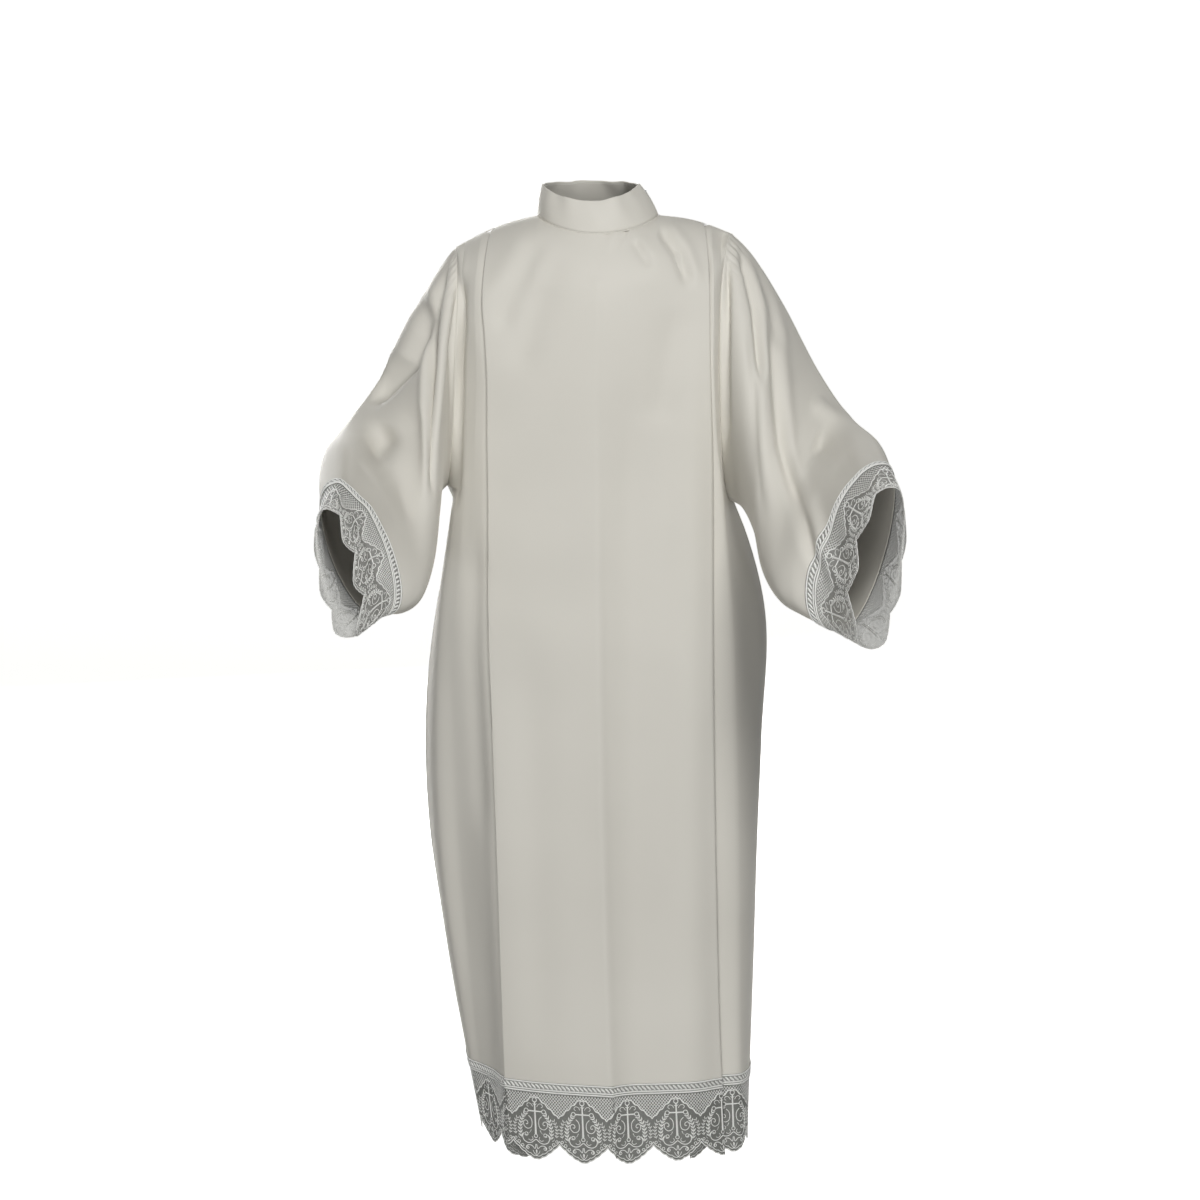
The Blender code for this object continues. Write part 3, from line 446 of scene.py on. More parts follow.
def alongSection(stations, station):
    # a cubic curve through the stations in plan, and its unit heading
    chords = np.linalg.norm(np.diff(stations, axis=0), axis=-1)[..., None]
    inner = (stations[2:] - stations[:-2]) / (chords[1:] + chords[:-1])
    first = np.broadcast_to((1.0, 0.0), stations[:1].shape)
    last = (stations[-1:] - stations[-2:-1]) / chords[-1:]
    slopes = np.concatenate([first, inner, last])
    k = np.clip(station.astype(int), 0, len(chords) - 1)
    here, after = (k, *np.indices(k.shape)), (k + 1, *np.indices(k.shape))
    t = (station - k)[..., None]
    leave, arrive = slopes[here] * chords[here], slopes[after] * chords[here]
    start, end = stations[here], stations[after]
    point = (1 + 2 * t) * (1 - t) ** 2 * start + t * (1 - t) ** 2 * leave
    point = point + t * t * (3 - 2 * t) * end + t * t * (t - 1) * arrive
    heading = 6 * t * (t - 1) * (start - end) + (1 - t) * (1 - 3 * t) * leave + t * (3 * t - 2) * arrive
    return point, unit(heading)


def neckHeight(turn, face):
    # the side's level, and toward the middle that of its face, by a power of the turn's cosine
    return neck["z"]["side"] + (neck["z"][face] - neck["z"]["side"]) * np.cos(turn) ** 1.5


def topEdge(side, face, station):
    # the neckline's ellipse, then the shoulder seam out to the armhole
    turn = np.minimum(station / neck["station"], 1) * math.pi / 2
    tip = ringPoint(side, 0, 0)
    tipX = abs(tip[0])
    seamX = np.interp(station, (neck["station"], 1, 5), (neck["half"], neck["shoulderEdgeX"], tipX))
    reach = (seamX - neck["half"]) / (tipX - neck["half"])
    seamZ = neck["z"]["side"] + (tip[2] - neck["z"]["side"]) * reach + neck["swell"] * np.sin(math.pi * reach)
    onNeck = station < neck["station"]
    x = np.where(onNeck, neck["half"] * np.sin(turn), seamX)
    y = outward[face] * np.where(onNeck, neck["depth"][face] * np.cos(turn), 0)
    return x, y, np.where(onNeck, neckHeight(turn, face), seamZ)


# front and back part by this much from the shoulder line, and at the left by more along the zip
shoulderGap = {"seam": 0.0004, "x": (0.082, 0.086, 0.163, 0.173), "zipped": (0, 0.0024, 0.0024, 0)}

# the cloth from the middle to the seam: its station, how far it is folded back from there as a
# share of the pleat's depth, how many layers it lies under the surface, and its share of the sink,
# by which the strip beside a pleat edge lies deeper than its layers
noseTurn = np.linspace(0, math.pi, 7)
clothPath = np.array(
    [(s, 0.0, 0.0, 0.0) for s in sorted([*np.linspace(0, 0.99, 34), neck["station"]])]
    + [(1.0 + 0.006 * math.sin(a), 0.0, (1 - math.cos(a)) / 2, 0.0) for a in noseTurn]
    + [(1.0, f, 1.0, 0.0) for f in (0.04, 0.35, 0.65, 0.95)]
    + [(1.0, 0.95 + 0.05 * math.sin(a), 1 + (1 - math.cos(a)) / 2, 0.0) for a in noseTurn[1:-1]]
    + [(1.0, 0.95, 2.0, 0.0), (1.0, 0.65, 2.0, 0.3), (1.0, 0.35, 2.0, 0.6), (1.0, 0.05, 2.0, 0.9)]
    + [(1.10, 0.0, 1.95, 1.0), (1.25, 0.0, 1.75, 0.95), (1.40, 0.0, 1.4, 0.8), (1.55, 0.0, 1.0, 0.6),
       (1.70, 0.0, 0.6, 0.38), (1.85, 0.0, 0.25, 0.16)]
    + [(s, 0.0, 0.0, 0.0) for s in np.linspace(2.0, 5.0, 31)]
)
lastPlace = len(clothPath) - 1.0


def clothAt(place):
    # the path's columns at a place, by straight lines between its rows
    return [np.interp(place, np.arange(len(clothPath)), column) for column in clothPath.T]


def topHeight(side, face, place):
    # the top edge's height over a place, and the station there, with what is folded back taken off
    station, folded = clothAt(place)[:2]
    station = station - folded * pleat["depth"] / neck["shoulderEdgeX"]
    return topEdge(side, face, station)[2], station


def halfBody(side, face, place, z):
    # the section's curve at each height, blended into the neckline and shoulder near the top
    place, z = np.broadcast_arrays(place, z)
    station, folded, layer, sink = clothAt(place)
    stations = section(side, face, z)
    edgeChord = np.linalg.norm(stations[1] - stations[0], axis=-1)
    point, heading = alongSection(stations, station - folded * pleat["depth"] / edgeChord)
    under = np.stack([heading[..., 1], -heading[..., 0]], axis=-1) * outward[face]
    topZ, topStation = topHeight(side, face, place)
    topX, topY, _ = topEdge(side, face, topStation)
    parted = np.interp(topX, shoulderGap["x"], shoulderGap["zipped"]) if side == "left" else 0
    topY = topY + outward[face] * (shoulderGap["seam"] + parted)
    top = np.stack([topX, topY], axis=-1)
    drop = np.clip((topZ - z) / neck["blendDrop"], 0, 1)
    # the shoulder turns down sooner than the middle does, and the seam at once
    power = np.interp(station, (0, neck["station"], 4, 5), (1, 0.5, 0.5, 0))
    weight = np.where(drop > 0, np.sin(drop * math.pi / 2) ** power, 0)[..., None]
    layer = layer[..., None]
    deep = layer + (sink * pleat["sink"][face, side])[..., None]
    plan = top + (point - top) * weight + under * deep * pleat["layer"] * weight
    height = z[..., None] - layer * pleat["layerAtShoulder"] * (1 - weight)
    return np.concatenate([plan * (sign[side], 1), height], axis=-1)


def hemZ(side, face, place):
    # the hem's level, lower at the middle by a parabola of x
    x = halfBody(side, face, place, np.full(np.shape(place), hem["z"]))[..., 0]
    return hem["z"] - hem["dip"] * np.clip(1 - (x / hem["dipHalf"]) ** 2, 0, 1)


# Creases. Each line is points (x outward, z); width and depth are in mm, and lip is how far
# the cloth rises on the side that the line's left hand points to.
creases = {
    ("sleeve", "right", "front"): [
        {"line": ((0.211, -0.040), (0.222, -0.075), (0.2315, -0.110), (0.2345, -0.151), (0.233, -0.249),
                  (0.2285, -0.320), (0.226, -0.385)), "width": 6.5, "depth": 17, "lip": 5},
        {"line": ((0.190, -0.070), (0.203, -0.170), (0.207, -0.249), (0.212, -0.330), (0.218, -0.375)),
         "width": 7, "depth": 13, "lip": 4},
        {"line": ((0.240, -0.096), (0.2520, -0.156), (0.268, -0.196), (0.300, -0.226), (0.336, -0.262)),
         "width": 12, "depth": 21, "lip": 8},
        {"line": ((0.292, -0.280), (0.316, -0.325), (0.324, -0.375)), "width": 18, "depth": 15, "lip": 0},
        {"line": ((0.352, -0.282), (0.3415, -0.306), (0.328, -0.361), (0.3105, -0.395), (0.2965, -0.440),
                  (0.285, -0.480)), "width": 6, "depth": 5, "lip": 3},
        {"line": ((0.214, -0.026), (0.238, -0.062), (0.262, -0.104)), "width": 9, "depth": 4, "lip": 2},
        {"line": ((0.262, -0.250), (0.258, -0.330), (0.266, -0.420)), "width": 20, "depth": 5, "lip": 0},
    ],
    ("sleeve", "left", "front"): [
        {"line": ((0.186, -0.040), (0.1815, -0.120), (0.1790, -0.200), (0.1810, -0.340)),
         "width": 5, "depth": 9, "lip": 0},
        {"line": ((0.2004, -0.030), (0.214, -0.074), (0.224, -0.120), (0.231, -0.230)),
         "width": 6, "depth": 11, "lip": 3},
        {"line": ((0.207, -0.030), (0.228, -0.066), (0.2450, -0.110), (0.262, -0.190)),
         "width": 6, "depth": 4, "lip": 2},
        {"line": ((0.2125, -0.130), (0.2175, -0.200), (0.2175, -0.306), (0.226, -0.417)),
         "width": 8, "depth": 4, "lip": 1},
        {"line": ((0.2430, -0.120), (0.2500, -0.200), (0.2558, -0.306), (0.281, -0.422), (0.306, -0.4945)),
         "width": 8, "depth": 9, "lip": 4},
        {"line": ((0.300, -0.250), (0.338, -0.276), (0.385, -0.288)), "width": 11, "depth": -8, "lip": 0},
        {"line": ((0.300, -0.300), (0.326, -0.318), (0.350, -0.316)), "width": 18, "depth": 11, "lip": 0},
        {"line": ((0.371, -0.296), (0.378, -0.318), (0.384, -0.332)), "width": 4, "depth": 5, "lip": 2},
        {"line": ((0.285, -0.330), (0.300, -0.400), (0.330, -0.460)), "width": 20, "depth": 6, "lip": 0},
    ],
    ("sleeve", "right", "back"): [
        {"line": ((0.212, -0.050), (0.232, -0.140), (0.238, -0.240), (0.246, -0.350)),
         "width": 9, "depth": 8, "lip": 3},
        {"line": ((0.236, -0.080), (0.268, -0.180), (0.296, -0.270), (0.318, -0.330)),
         "width": 15, "depth": 9, "lip": 4},
        {"line": ((0.258, -0.260), (0.272, -0.340), (0.292, -0.420)), "width": 16, "depth": 7, "lip": 0},
        {"line": ((0.330, -0.290), (0.322, -0.350), (0.328, -0.420)), "width": 13, "depth": 6, "lip": 3},
    ],
    ("sleeve", "left", "back"): [
        {"line": ((0.206, -0.060), (0.222, -0.150), (0.228, -0.270), (0.240, -0.380)),
         "width": 8, "depth": 9, "lip": 3},
        {"line": ((0.232, -0.070), (0.272, -0.170), (0.312, -0.250), (0.340, -0.310)),
         "width": 14, "depth": 8, "lip": 4},
        {"line": ((0.262, -0.220), (0.272, -0.330), (0.298, -0.430)), "width": 18, "depth": 8, "lip": 0},
        {"line": ((0.346, -0.300), (0.342, -0.370), (0.350, -0.430)), "width": 12, "depth": 6, "lip": 3},
    ],
    ("body", "left", "front"): [
        {"line": ((0.050, -0.022), (0.062, -0.044), (0.076, -0.060)), "width": 6, "depth": 3.5, "lip": 1.5},
        {"line": ((0.084, -0.004), (0.098, -0.022), (0.114, -0.044), (0.130, -0.092)),
         "width": 8, "depth": 7, "lip": 3},
        {"line": ((0.118, -0.110), (0.100, -0.200), (0.086, -0.290)), "width": 26, "depth": 5, "lip": 0},
        {"line": ((0.050, -0.100), (0.046, -0.400), (0.048, -0.900), (0.056, -1.480)),
         "width": 32, "depth": 7, "lip": 0},
        {"line": ((0.132, -0.080), (0.132, -0.400), (0.134, -0.900), (0.144, -1.480)),
         "width": 30, "depth": -9, "lip": 0},
    ],
    ("body", "right", "front"): [
        {"line": ((0.076, -0.012), (0.100, -0.060), (0.126, -0.110), (0.142, -0.160)),
         "width": 15, "depth": 5, "lip": 2},
        {"line": ((0.052, -0.030), (0.084, -0.110), (0.116, -0.220)), "width": 22, "depth": 4, "lip": 0},
        {"line": ((0.100, -0.560), (0.094, -0.850), (0.082, -1.235)), "width": 30, "depth": 4, "lip": 0},
        {"line": ((0.172, -0.420), (0.178, -0.620), (0.166, -0.900)), "width": 12, "depth": 4, "lip": 0},
        {"line": ((0.192, -0.060), (0.198, -0.180), (0.202, -0.300), (0.206, -0.420)),
         "width": 7, "depth": 14, "lip": 0},
    ],
    ("body", "left", "back"): [
        {"line": ((0.050, -0.040), (0.084, -0.140), (0.110, -0.260)), "width": 22, "depth": 6, "lip": 0},
        {"line": ((0.070, -0.560), (0.064, -0.860), (0.072, -1.235)), "width": 26, "depth": 6, "lip": 0},
        {"line": ((0.172, -0.300), (0.186, -0.620), (0.176, -1.000)), "width": 14, "depth": 5, "lip": 0},
    ],
    ("body", "right", "back"): [
        {"line": ((0.056, -0.030), (0.092, -0.130), (0.124, -0.230)), "width": 20, "depth": 6, "lip": 0},
        {"line": ((0.088, -0.500), (0.080, -0.820), (0.076, -1.235)), "width": 28, "depth": 6, "lip": 0},
        {"line": ((0.178, -0.320), (0.188, -0.600), (0.180, -0.960)), "width": 14, "depth": 5, "lip": 0},
    ],
}
# the panel's pressed middle: mm of rise and of width to each side. From a little above topZ it has
# its least share of the rise, and at fullZ all of it
centreCrease = {"rise": 7.0, "right": 26.0, "left": 12.0, "above": 0.02, "topZ": -0.10, "least": 0.4,
                "fullZ": -0.60}
shoulderGathers = {"spacing": 11.0, "height": 1.5, "spread": 0.9, "from": 0.03, "middle": 0.05,
                   "reach": 0.075}
neckPuckers = {"spacing": 9.0, "height": 2.4, "fromX": 0.006, "toX": 0.060, "ease": 0.010, "deep": 0.034}
slopeStep = {"place": 0.05, "z": 0.002, "along": 0.01, "angle": 0.02}   # steps that slopes are measured over


def creaseDepth(key, x, z):
    # each crease is a bell across its line, with a lower one on its left hand for the lip, and both
    # fade out over the last fifth of the line at either end
    total = np.zeros(np.shape(x))
    for crease in creases[key]:
        line = np.array(crease["line"])
        run = lengthAlong(line)
        best, at, hand = np.full(np.shape(x), np.inf), np.zeros(np.shape(x)), np.ones(np.shape(x))
        for k in range(len(line) - 1):
            step = line[k + 1] - line[k]
            size = run[k + 1] - run[k]
            t = np.clip(((x - line[k, 0]) * step[0] + (z - line[k, 1]) * step[1]) / size ** 2, 0, 1)
            dx, dz = x - line[k, 0] - t * step[0], z - line[k, 1] - t * step[1]
            away = np.hypot(dx, dz)
            near = away < best
            best, at = np.where(near, away, best), np.where(near, run[k] + t * size, at)
            hand = np.where(near, np.sign(step[0] * dz - step[1] * dx), hand)
        share = at / run[-1]
        fade = np.clip(np.minimum(share, 1 - share) / 0.2, 0, 1)
        fade = fade * fade * (3 - 2 * fade)
        width = crease["width"] / 1000
        total -= crease["depth"] / 1000 * fade * np.exp(-(best / width) ** 2)
        total += crease["lip"] / 1000 * fade * np.exp(-((best * hand / width - 1.7) / 1.1) ** 2)
    return total


def wornBody(face, place, z):
    # a place is counted along the cloth from the middle, below 0 on the wearer's right. The form is
    # moved out along its normal by the creases, the middle's pressed crease and the neck's puckers
    place, z = np.broadcast_arrays(np.asarray(place, float), np.asarray(z, float))
    points = np.empty(place.shape + (3,))
    for side in ("right", "left"):
        mine = place < 0 if side == "right" else place >= 0
        own, height = np.abs(place[mine]), z[mine]
        here = halfBody(side, face, own, height)
        across = halfBody(side, face, np.minimum(own + slopeStep["place"], lastPlace), height)
        across = across - halfBody(side, face, np.maximum(own - slopeStep["place"], 0), height)
        down = halfBody(side, face, own, height - slopeStep["z"])
        down = down - halfBody(side, face, own, height + slopeStep["z"])
        normal = unit(np.cross(down, across)) * sign[side] * -outward[face]
        station, folded = clothAt(own)[:2]
        normal = np.where(folded[:, None] > 0, (0, outward[face], 0), normal)   # under folds follow the panel
        x = here[:, 0] * sign[side]
        lift = creaseDepth(("body", side, face), x, height)
        lift = lift * np.clip((5 - station) / 0.5, 0, 1)   # none at the seam
        if face == "front" and side == "left":
            pucker = neckPuckers
            grow = np.clip((x - pucker["fromX"]) / pucker["ease"], 0, 1)
            grow = grow * np.clip((pucker["toX"] - x) / pucker["ease"], 0, 1)
            neckTurn = np.arcsin(np.clip(x / neck["half"], 0, 1))
            below = (neckHeight(neckTurn, face) - height) / pucker["deep"]
            ripple = np.sin(x * 1000 * fullTurn / pucker["spacing"]) * np.exp(-(below / 0.6) ** 2)
            lift = lift + pucker["height"] / 1000 * grow * ripple
        points[mine] = here + normal * lift[:, None]
    fold = centreCrease
    grow = np.clip((fold["topZ"] - z) / (fold["topZ"] - fold["fullZ"]), fold["least"], 1)
    grow = grow * (z < fold["topZ"] + fold["above"])
    middleX = downTable(middleForm, 1, z)
    away = (points[..., 0] - middleX) * 1000
    bump = fold["rise"] * np.exp(-np.abs(away) / np.where(away < 0, fold["right"], fold["left"]))
    points[..., 1] += outward[face] * grow * bump / 1000
    return points


def wornSleeve(side, along, angle):
    # the ring's point moved out along its normal by the creases of the half that it faces, and by
    # the gathers at the shoulder, a ripple round the seam that fades down the sleeve
    along, angle = np.broadcast_arrays(np.asarray(along, float), np.asarray(angle, float))
    here = ringPoint(side, along, angle)
    across = ringPoint(side, along, angle + slopeStep["angle"])
    across = across - ringPoint(side, along, angle - slopeStep["angle"])
    down = ringPoint(side, np.minimum(along + slopeStep["along"], 1.5), angle)
    down = down - ringPoint(side, np.maximum(along - slopeStep["along"], 0), angle)
    normal = unit(np.cross(down, across)) * -sign[side]
    x, z = here[..., 0] * sign[side], here[..., 2]
    lift = np.zeros(x.shape)
    for face in ("front", "back"):
        facing = np.clip((normal[..., 1] * outward[face] - 0.05) / 0.45, 0, 1)
        lift = lift + creaseDepth(("sleeve", side, face), x, z) * facing * facing * (3 - 2 * facing)
    gather = shoulderGathers
    turn = (angle + math.pi) % (2 * math.pi) - math.pi
    ripple = np.sin(turn * 100 / gather["spacing"] * 2 * math.pi + 0.7 * np.sin(turn * 9))
    ripple = ripple * np.exp(-(turn / gather["spread"]) ** 2)
    ripple = ripple * np.exp(-((along - gather["middle"]) / gather["reach"]) ** 2)
    lift = lift + ripple * gather["height"] / 1000
    lift = lift * np.clip(along / gather["from"], 0, 1)
    return here + normal * lift[..., None]


clothGrid = {"armholeRows": 70, "skirtRows": 114, "sleeveRows": 124, "sleeveColumns": 184}
clothWall = 0.0008


def bodyGrid(face):
    # rows from the neckline and shoulder: even turns round the armhole, then even steps to the hem
    places = np.arange(-lastPlace, lastPlace + 1)
    side = np.where(places < 0, "right", "left")
    top, under, low = np.empty(len(places)), np.empty(len(places)), np.empty(len(places))
    for name in ("right", "left"):
        mine = side == name
        top[mine] = topHeight(name, face, np.abs(places[mine]))[0]
        low[mine] = hemZ(name, face, np.abs(places[mine]))
        under[mine] = sleeveForm[name][0][9]
    turn = np.linspace(0, math.pi, clothGrid["armholeRows"])[:, None]
    upper = top + (under - top) * (1 - np.cos(turn)) / 2
    lower = under + (low - under) * np.linspace(0, 1, clothGrid["skirtRows"] + 1)[1:, None]
    z = np.concatenate([upper, lower])
    return wornBody(face, np.broadcast_to(places, z.shape), z)


cloth = {}


def wearCloth(key, name, node, grid, closed=False):
    # one cloth with its wall, its faces outward, in place of its solid
    faces = gridFaces(*grid.shape[:2], closed=closed)
    faces = faces if key in ("front", "left") else faces[:, ::-1]
    piece = addMesh(name, grid, faces, satin, gridUv(grid), clothWall)
    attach(piece, "robe")
    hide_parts(node)
    cloth[key] = {"piece": piece, "grid": grid, "area": gridArea(grid, closed)}


def noteCut(key, across, down):
    # the cut's width and length, each along one line of the cloth
    cloth[key]["cut"] = (lengthAlong(across)[-1], lengthAlong(down)[-1])
    print("cloth:", key, "area", round(cloth[key]["area"], 4), "cut", np.round(cloth[key]["cut"], 3))


for face in ("front", "back"):
    grid = bodyGrid(face)
    wearCloth(face, f"robe_{face}", f"body_{face}", grid)
    noteCut(face, grid[-1], grid[:, grid.shape[1] // 2 + 40])   # the hem, and a line beside the left pleat

for side in ("right", "left"):
    around = np.arange(clothGrid["sleeveColumns"]) * 2 * math.pi / clothGrid["sleeveColumns"]
    along = np.linspace(0, 1, clothGrid["sleeveRows"])[:, None]
    grid = wornSleeve(side, along, around)
    wearCloth(side, f"sleeve_cloth_{side}", f"sleeve_{side}", grid, closed=True)
    noteCut(side, closeRing(grid)[0], grid[:, 0])   # the armhole, and the line down from the shoulder


# Lace in mm: u runs along the hem from the middle of a scallop and d down from the cloth's edge.
# The drawing is one pitch wide, and its left half is the right half's mirror.
lace = {
    "pitch": 70.5, "tip": 100.0, "notch": 24.0, "shape": 1.5, "header": 16.0, "firstTipX": -23.5,
    "cordTop": 5.0, "cordDrop": 31.0, "wave": 8.8, "netPitch": 4.4, "netLean": 0.85,
    "dashes": 11, "ground": 0.3, "cuffScallops": 7, "bandOver": 0.8, "bandLift": 1.1,
    "dashLift": 1.4, "tuck": 2.0, "trim": 0.4,
}
# how finely the lace follows the cloth, in metres along it, and in rows down it
laceGrid = {"hemPlaces": 2401, "cuffAngles": 1441, "clothStep": 0.0012, "clothRows": 50,
            "clothDeep": (-0.019, 0.106), "groundStep": 0.0022, "groundRows": 27, "bandRows": 9}
half = lace["pitch"] / 2


def edgeDrop(u):
    # the scallop: full drop at its tip, less toward a notch, with small arcs along it
    turn = np.abs((u + half) % lace["pitch"] - half) / half
    arcs = 1.5 * np.abs(np.sin(math.pi * turn * 4)) ** 0.7
    return lace["tip"] - lace["notch"] * turn ** lace["shape"] - 1.5 + arcs


def cordDrop(u):
    # the cord over a medallion: an arch that falls to the valleys in small waves
    turn = np.abs((u + half) % lace["pitch"] - half)
    wave = 1.1 * np.sin(2 * math.pi * turn / lace["wave"])
    return lace["cordTop"] + lace["cordDrop"] * (turn / half) ** 1.12 + wave


def throughPoints(points, count):
    # a smooth curve through the points, at even steps of their running length
    points = np.array(points, float)
    run = lengthAlong(points)
    at = np.linspace(0, run[-1], count)
    return np.stack([smooth(run, points[:, 0], at), smooth(run, points[:, 1], at)], axis=-1)


def ringLine(u, d, radius, turns=1.0, start=0.0, end=None, count=12):
    # a ring, or a curl whose radius runs from the first to the end value
    angle = start + np.linspace(0, 2 * math.pi * turns, count)
    size = np.linspace(radius, radius if end is None else end, count)
    return np.stack([u + size * np.sin(angle), d - size * np.cos(angle)], axis=-1)


def leafLines(stem, pairs, length, lean):
    # pairs of leaves off a stem, each a short line that leans up and away from it
    at = np.linspace(0.06, 0.97, pairs)
    run = lengthAlong(stem) / lengthAlong(stem)[-1]
    foot = alongLine(at, run, stem)
    heading = unit(alongLine(at, run, np.gradient(stem, axis=0)))
    lines = []
    for hand in (-1, 1):
        turned = np.stack([heading[:, 0] * -math.cos(lean) + heading[:, 1] * hand * math.sin(lean),
                           heading[:, 1] * -math.cos(lean) - heading[:, 0] * hand * math.sin(lean)], axis=-1)
        for point, way in zip(foot, turned):
            lines.append(point + way * np.array([[0.6], [0.33 * length], [0.66 * length], [length]]))
    return lines


def motifStrokes():
    # (line, widths) in mm for one scallop. Leaves are widest in the middle, cords are even
    strokes = []

    def stroke(line, width, shape="even", mirror=True):
        # a line with its width at each point, and its mirror image
        t = np.linspace(0, 1, len(line))
        swell = {"even": np.ones(len(t)), "leaf": 0.15 + 0.85 * np.sin(math.pi * t ** 0.8),
                 "tail": 1.0 - 0.75 * t, "foot": 0.7 + 0.5 * t}[shape]
        strokes.append((line, width * swell))
        if mirror:
            strokes.append((line * (-1, 1), width * swell))

    u = np.linspace(0, half, 29)
    stroke(np.stack([u, cordDrop(u)], axis=-1), 2.1)
    stroke(np.stack([u, edgeDrop(u) - 1.0], axis=-1), 2.0)
    stroke(np.stack([u, edgeDrop(u) - 5.2], axis=-1), 1.5)
    stroke(np.array([(0, 15.0), (0, 27), (0, 40), (0, 52), (0, 61.5)]), 3.6, "foot", mirror=False)
    stroke(np.array([(0.5, 28.2), (5, 28.2), (10.2, 28.2)]), 2.6)
    stroke(ringLine(0, 11.5, 3.2), 1.7, mirror=False)
    stroke(ringLine(13.2, 28.2, 3.0), 1.6)
    stroke(ringLine(0, 64.5, 2.6), 1.6, mirror=False)
    stroke(throughPoints([(3.2, 21.5), (6, 17.5), (10, 17), (12, 20.5), (9.5, 22.5)], 12), 1.3)
    stroke(throughPoints([(14.6, 47.5), (12.6, 48.6), (11.4, 46.6), (12.6, 43.6), (16, 42.8), (18.2, 46),
                          (17.6, 50.5), (12.8, 54.6), (7.0, 52.6), (5.0, 46.0), (6.2, 39.5), (10, 35.5)],
                         30), 1.6)
    stroke(throughPoints([(6.8, 56.0), (9.5, 60.5), (12.0, 61.0)], 7), 1.5, "tail")
    stroke(ringLine(14.6, 62.5, 3.2, turns=1.25, start=2.2, end=1.5, count=14), 1.5)
    stroke(throughPoints([(17.6, 61.0), (20.4, 66.0), (18.6, 72.4), (12.6, 75.6), (6, 74.2), (2.0, 70.8),
                          (0, 69.6)], 20), 1.8)
    stroke(throughPoints([(11.5, 70.5), (8.0, 72.0), (4.5, 69.0), (6.0, 65.8)], 9), 1.3)
    stroke(ringLine(13.2, 82.6, 2.6, turns=1.3, start=1.0, end=1.2, count=14), 1.5)
    stroke(throughPoints([(15.6, 81.5), (12.5, 78.8), (6.5, 79.5), (2.2, 83.5), (0.6, 76.5)], 14), 1.6)
    stroke(np.array([(0, 84.2), (0, 86.5), (0, 88.8), (0, 91.4)]), 3.8, "leaf", mirror=False)
    stroke(throughPoints([(5.2, 86.0), (3.6, 89.8), (0, 93.2)], 7), 1.3)
    stroke(ringLine(21.0, 80.2, 2.0, count=10), 1.4)
    stroke(ringLine(26.4, 75.2, 2.1, count=10), 1.4)
    stroke(ringLine(31.2, 70.4, 1.8, count=10), 1.4)
    stroke(throughPoints([(24.6, 70.5), (27.6, 68.0), (27.0, 64.8)], 7), 1.3, "tail")
    spray = throughPoints([(15.6, 33.0), (20.4, 40.0), (23.2, 50.0), (23.6, 60.0), (22.0, 69.0)], 12)
    stroke(spray, 1.1)
    for line in leafLines(spray, 8, 6.6, 0.62):
        stroke(line, 2.7, "leaf")
    outer = throughPoints([(27.6, 40.0), (31.0, 47.0), (32.2, 56.0), (30.6, 65.0)], 10)
    stroke(outer, 0.9)
    for line in leafLines(outer, 6, 4.8, 0.7):
        stroke(line, 1.9, "leaf")
    for line in leafLines(throughPoints([(0, 15.5), (0, 19.5)], 4), 2, 4.6, 0.9):
        stroke(line, 1.6, "leaf", mirror=False)
    return strokes


def netStrokes():
    # straight strands at two slants between a medallion and the next, from the band to the cord
    strokes = []
    for slant in (-lace["netLean"], lace["netLean"]):
        for start in np.arange(-2 * half, 2 * half, lace["netPitch"]):
            d = np.linspace(0.5, 42, 120)
            u = start + d * slant
            inside = (np.abs(u) < half) & (d < cordDrop(u + half) + 0.2)
            if not inside.any():
                continue
            first = int(np.argmax(inside))
            last = first + int(np.argmin(np.append(inside[first:], False))) - 1
            if last - first < 4:
                continue
            pick = np.linspace(first, last, 5).astype(int)
            strokes.append((np.stack([u[pick] + half, d[pick]], axis=-1), np.full(5, 1.15)))
    return strokes


def bandStrokes():
    # close satin dashes at 45 degrees in the lace's straight band, between three straight cords
    step = lace["pitch"] / lace["dashes"]
    strokes = []
    for k in range(lace["dashes"]):
        u = -half + step * (k + 0.5)
        t = np.linspace(0, 1, 6)
        strokes.append((np.stack([u - 3.3 + 6.6 * t, -12.5 + 6.6 * t], axis=-1),
                        3.3 * (0.35 + 0.65 * np.sin(math.pi * t) ** 0.6)))
    line = np.linspace(-half, half, 24)
    for d, width in ((-14.4, 2.6), (-4.4, 2.4), (-1.2, 2.6)):
        strokes.append((np.stack([line, np.full(24, d)], axis=-1), np.full(24, width)))
    return strokes


def ribbons(strokes):
    # each stroke as a flat lens: its two edges, its crown and its underside along every point
    points, faces, uv, count = [], [], [], 0
    for line, width in strokes:
        heading = unit(np.gradient(line, axis=0))
        across = np.stack([-heading[:, 1], heading[:, 0]], axis=-1) * width[:, None] / 2
        crown = 0.16 + 0.22 * np.minimum(width, 2.4)
        rows = [(line - across, 0 * crown), (line, crown), (line + across, 0 * crown), (line, -0.35 * crown)]
        points.append(np.stack([np.concatenate([at, lift[:, None]], axis=-1) for at, lift in rows], axis=1))
        n = len(line)
        faces.append(gridFaces(n, 4, closed=True) + count)
        run = lengthAlong(line)
        turn = np.stack([-width / 2, 0 * width, width / 2, 0 * width], axis=-1)
        uv.append(np.stack([np.broadcast_to(run[:, None], (n, 4)), turn], axis=-1) / 1000)
        count += n * 4
    return (np.concatenate([p.reshape(-1, 3) for p in points]), np.concatenate(faces),
            np.concatenate([q.reshape(-1, 2) for q in uv]))


def tidyFaces(points, faces, uv, keep):
    # only the faces whose corners are all kept, and only the corners that they use
    faces = faces[keep[faces].all(axis=1)]
    used = np.unique(faces)
    place = np.zeros(len(points), int)
    place[used] = np.arange(len(used))
    return points[used], place[faces], uv[used]


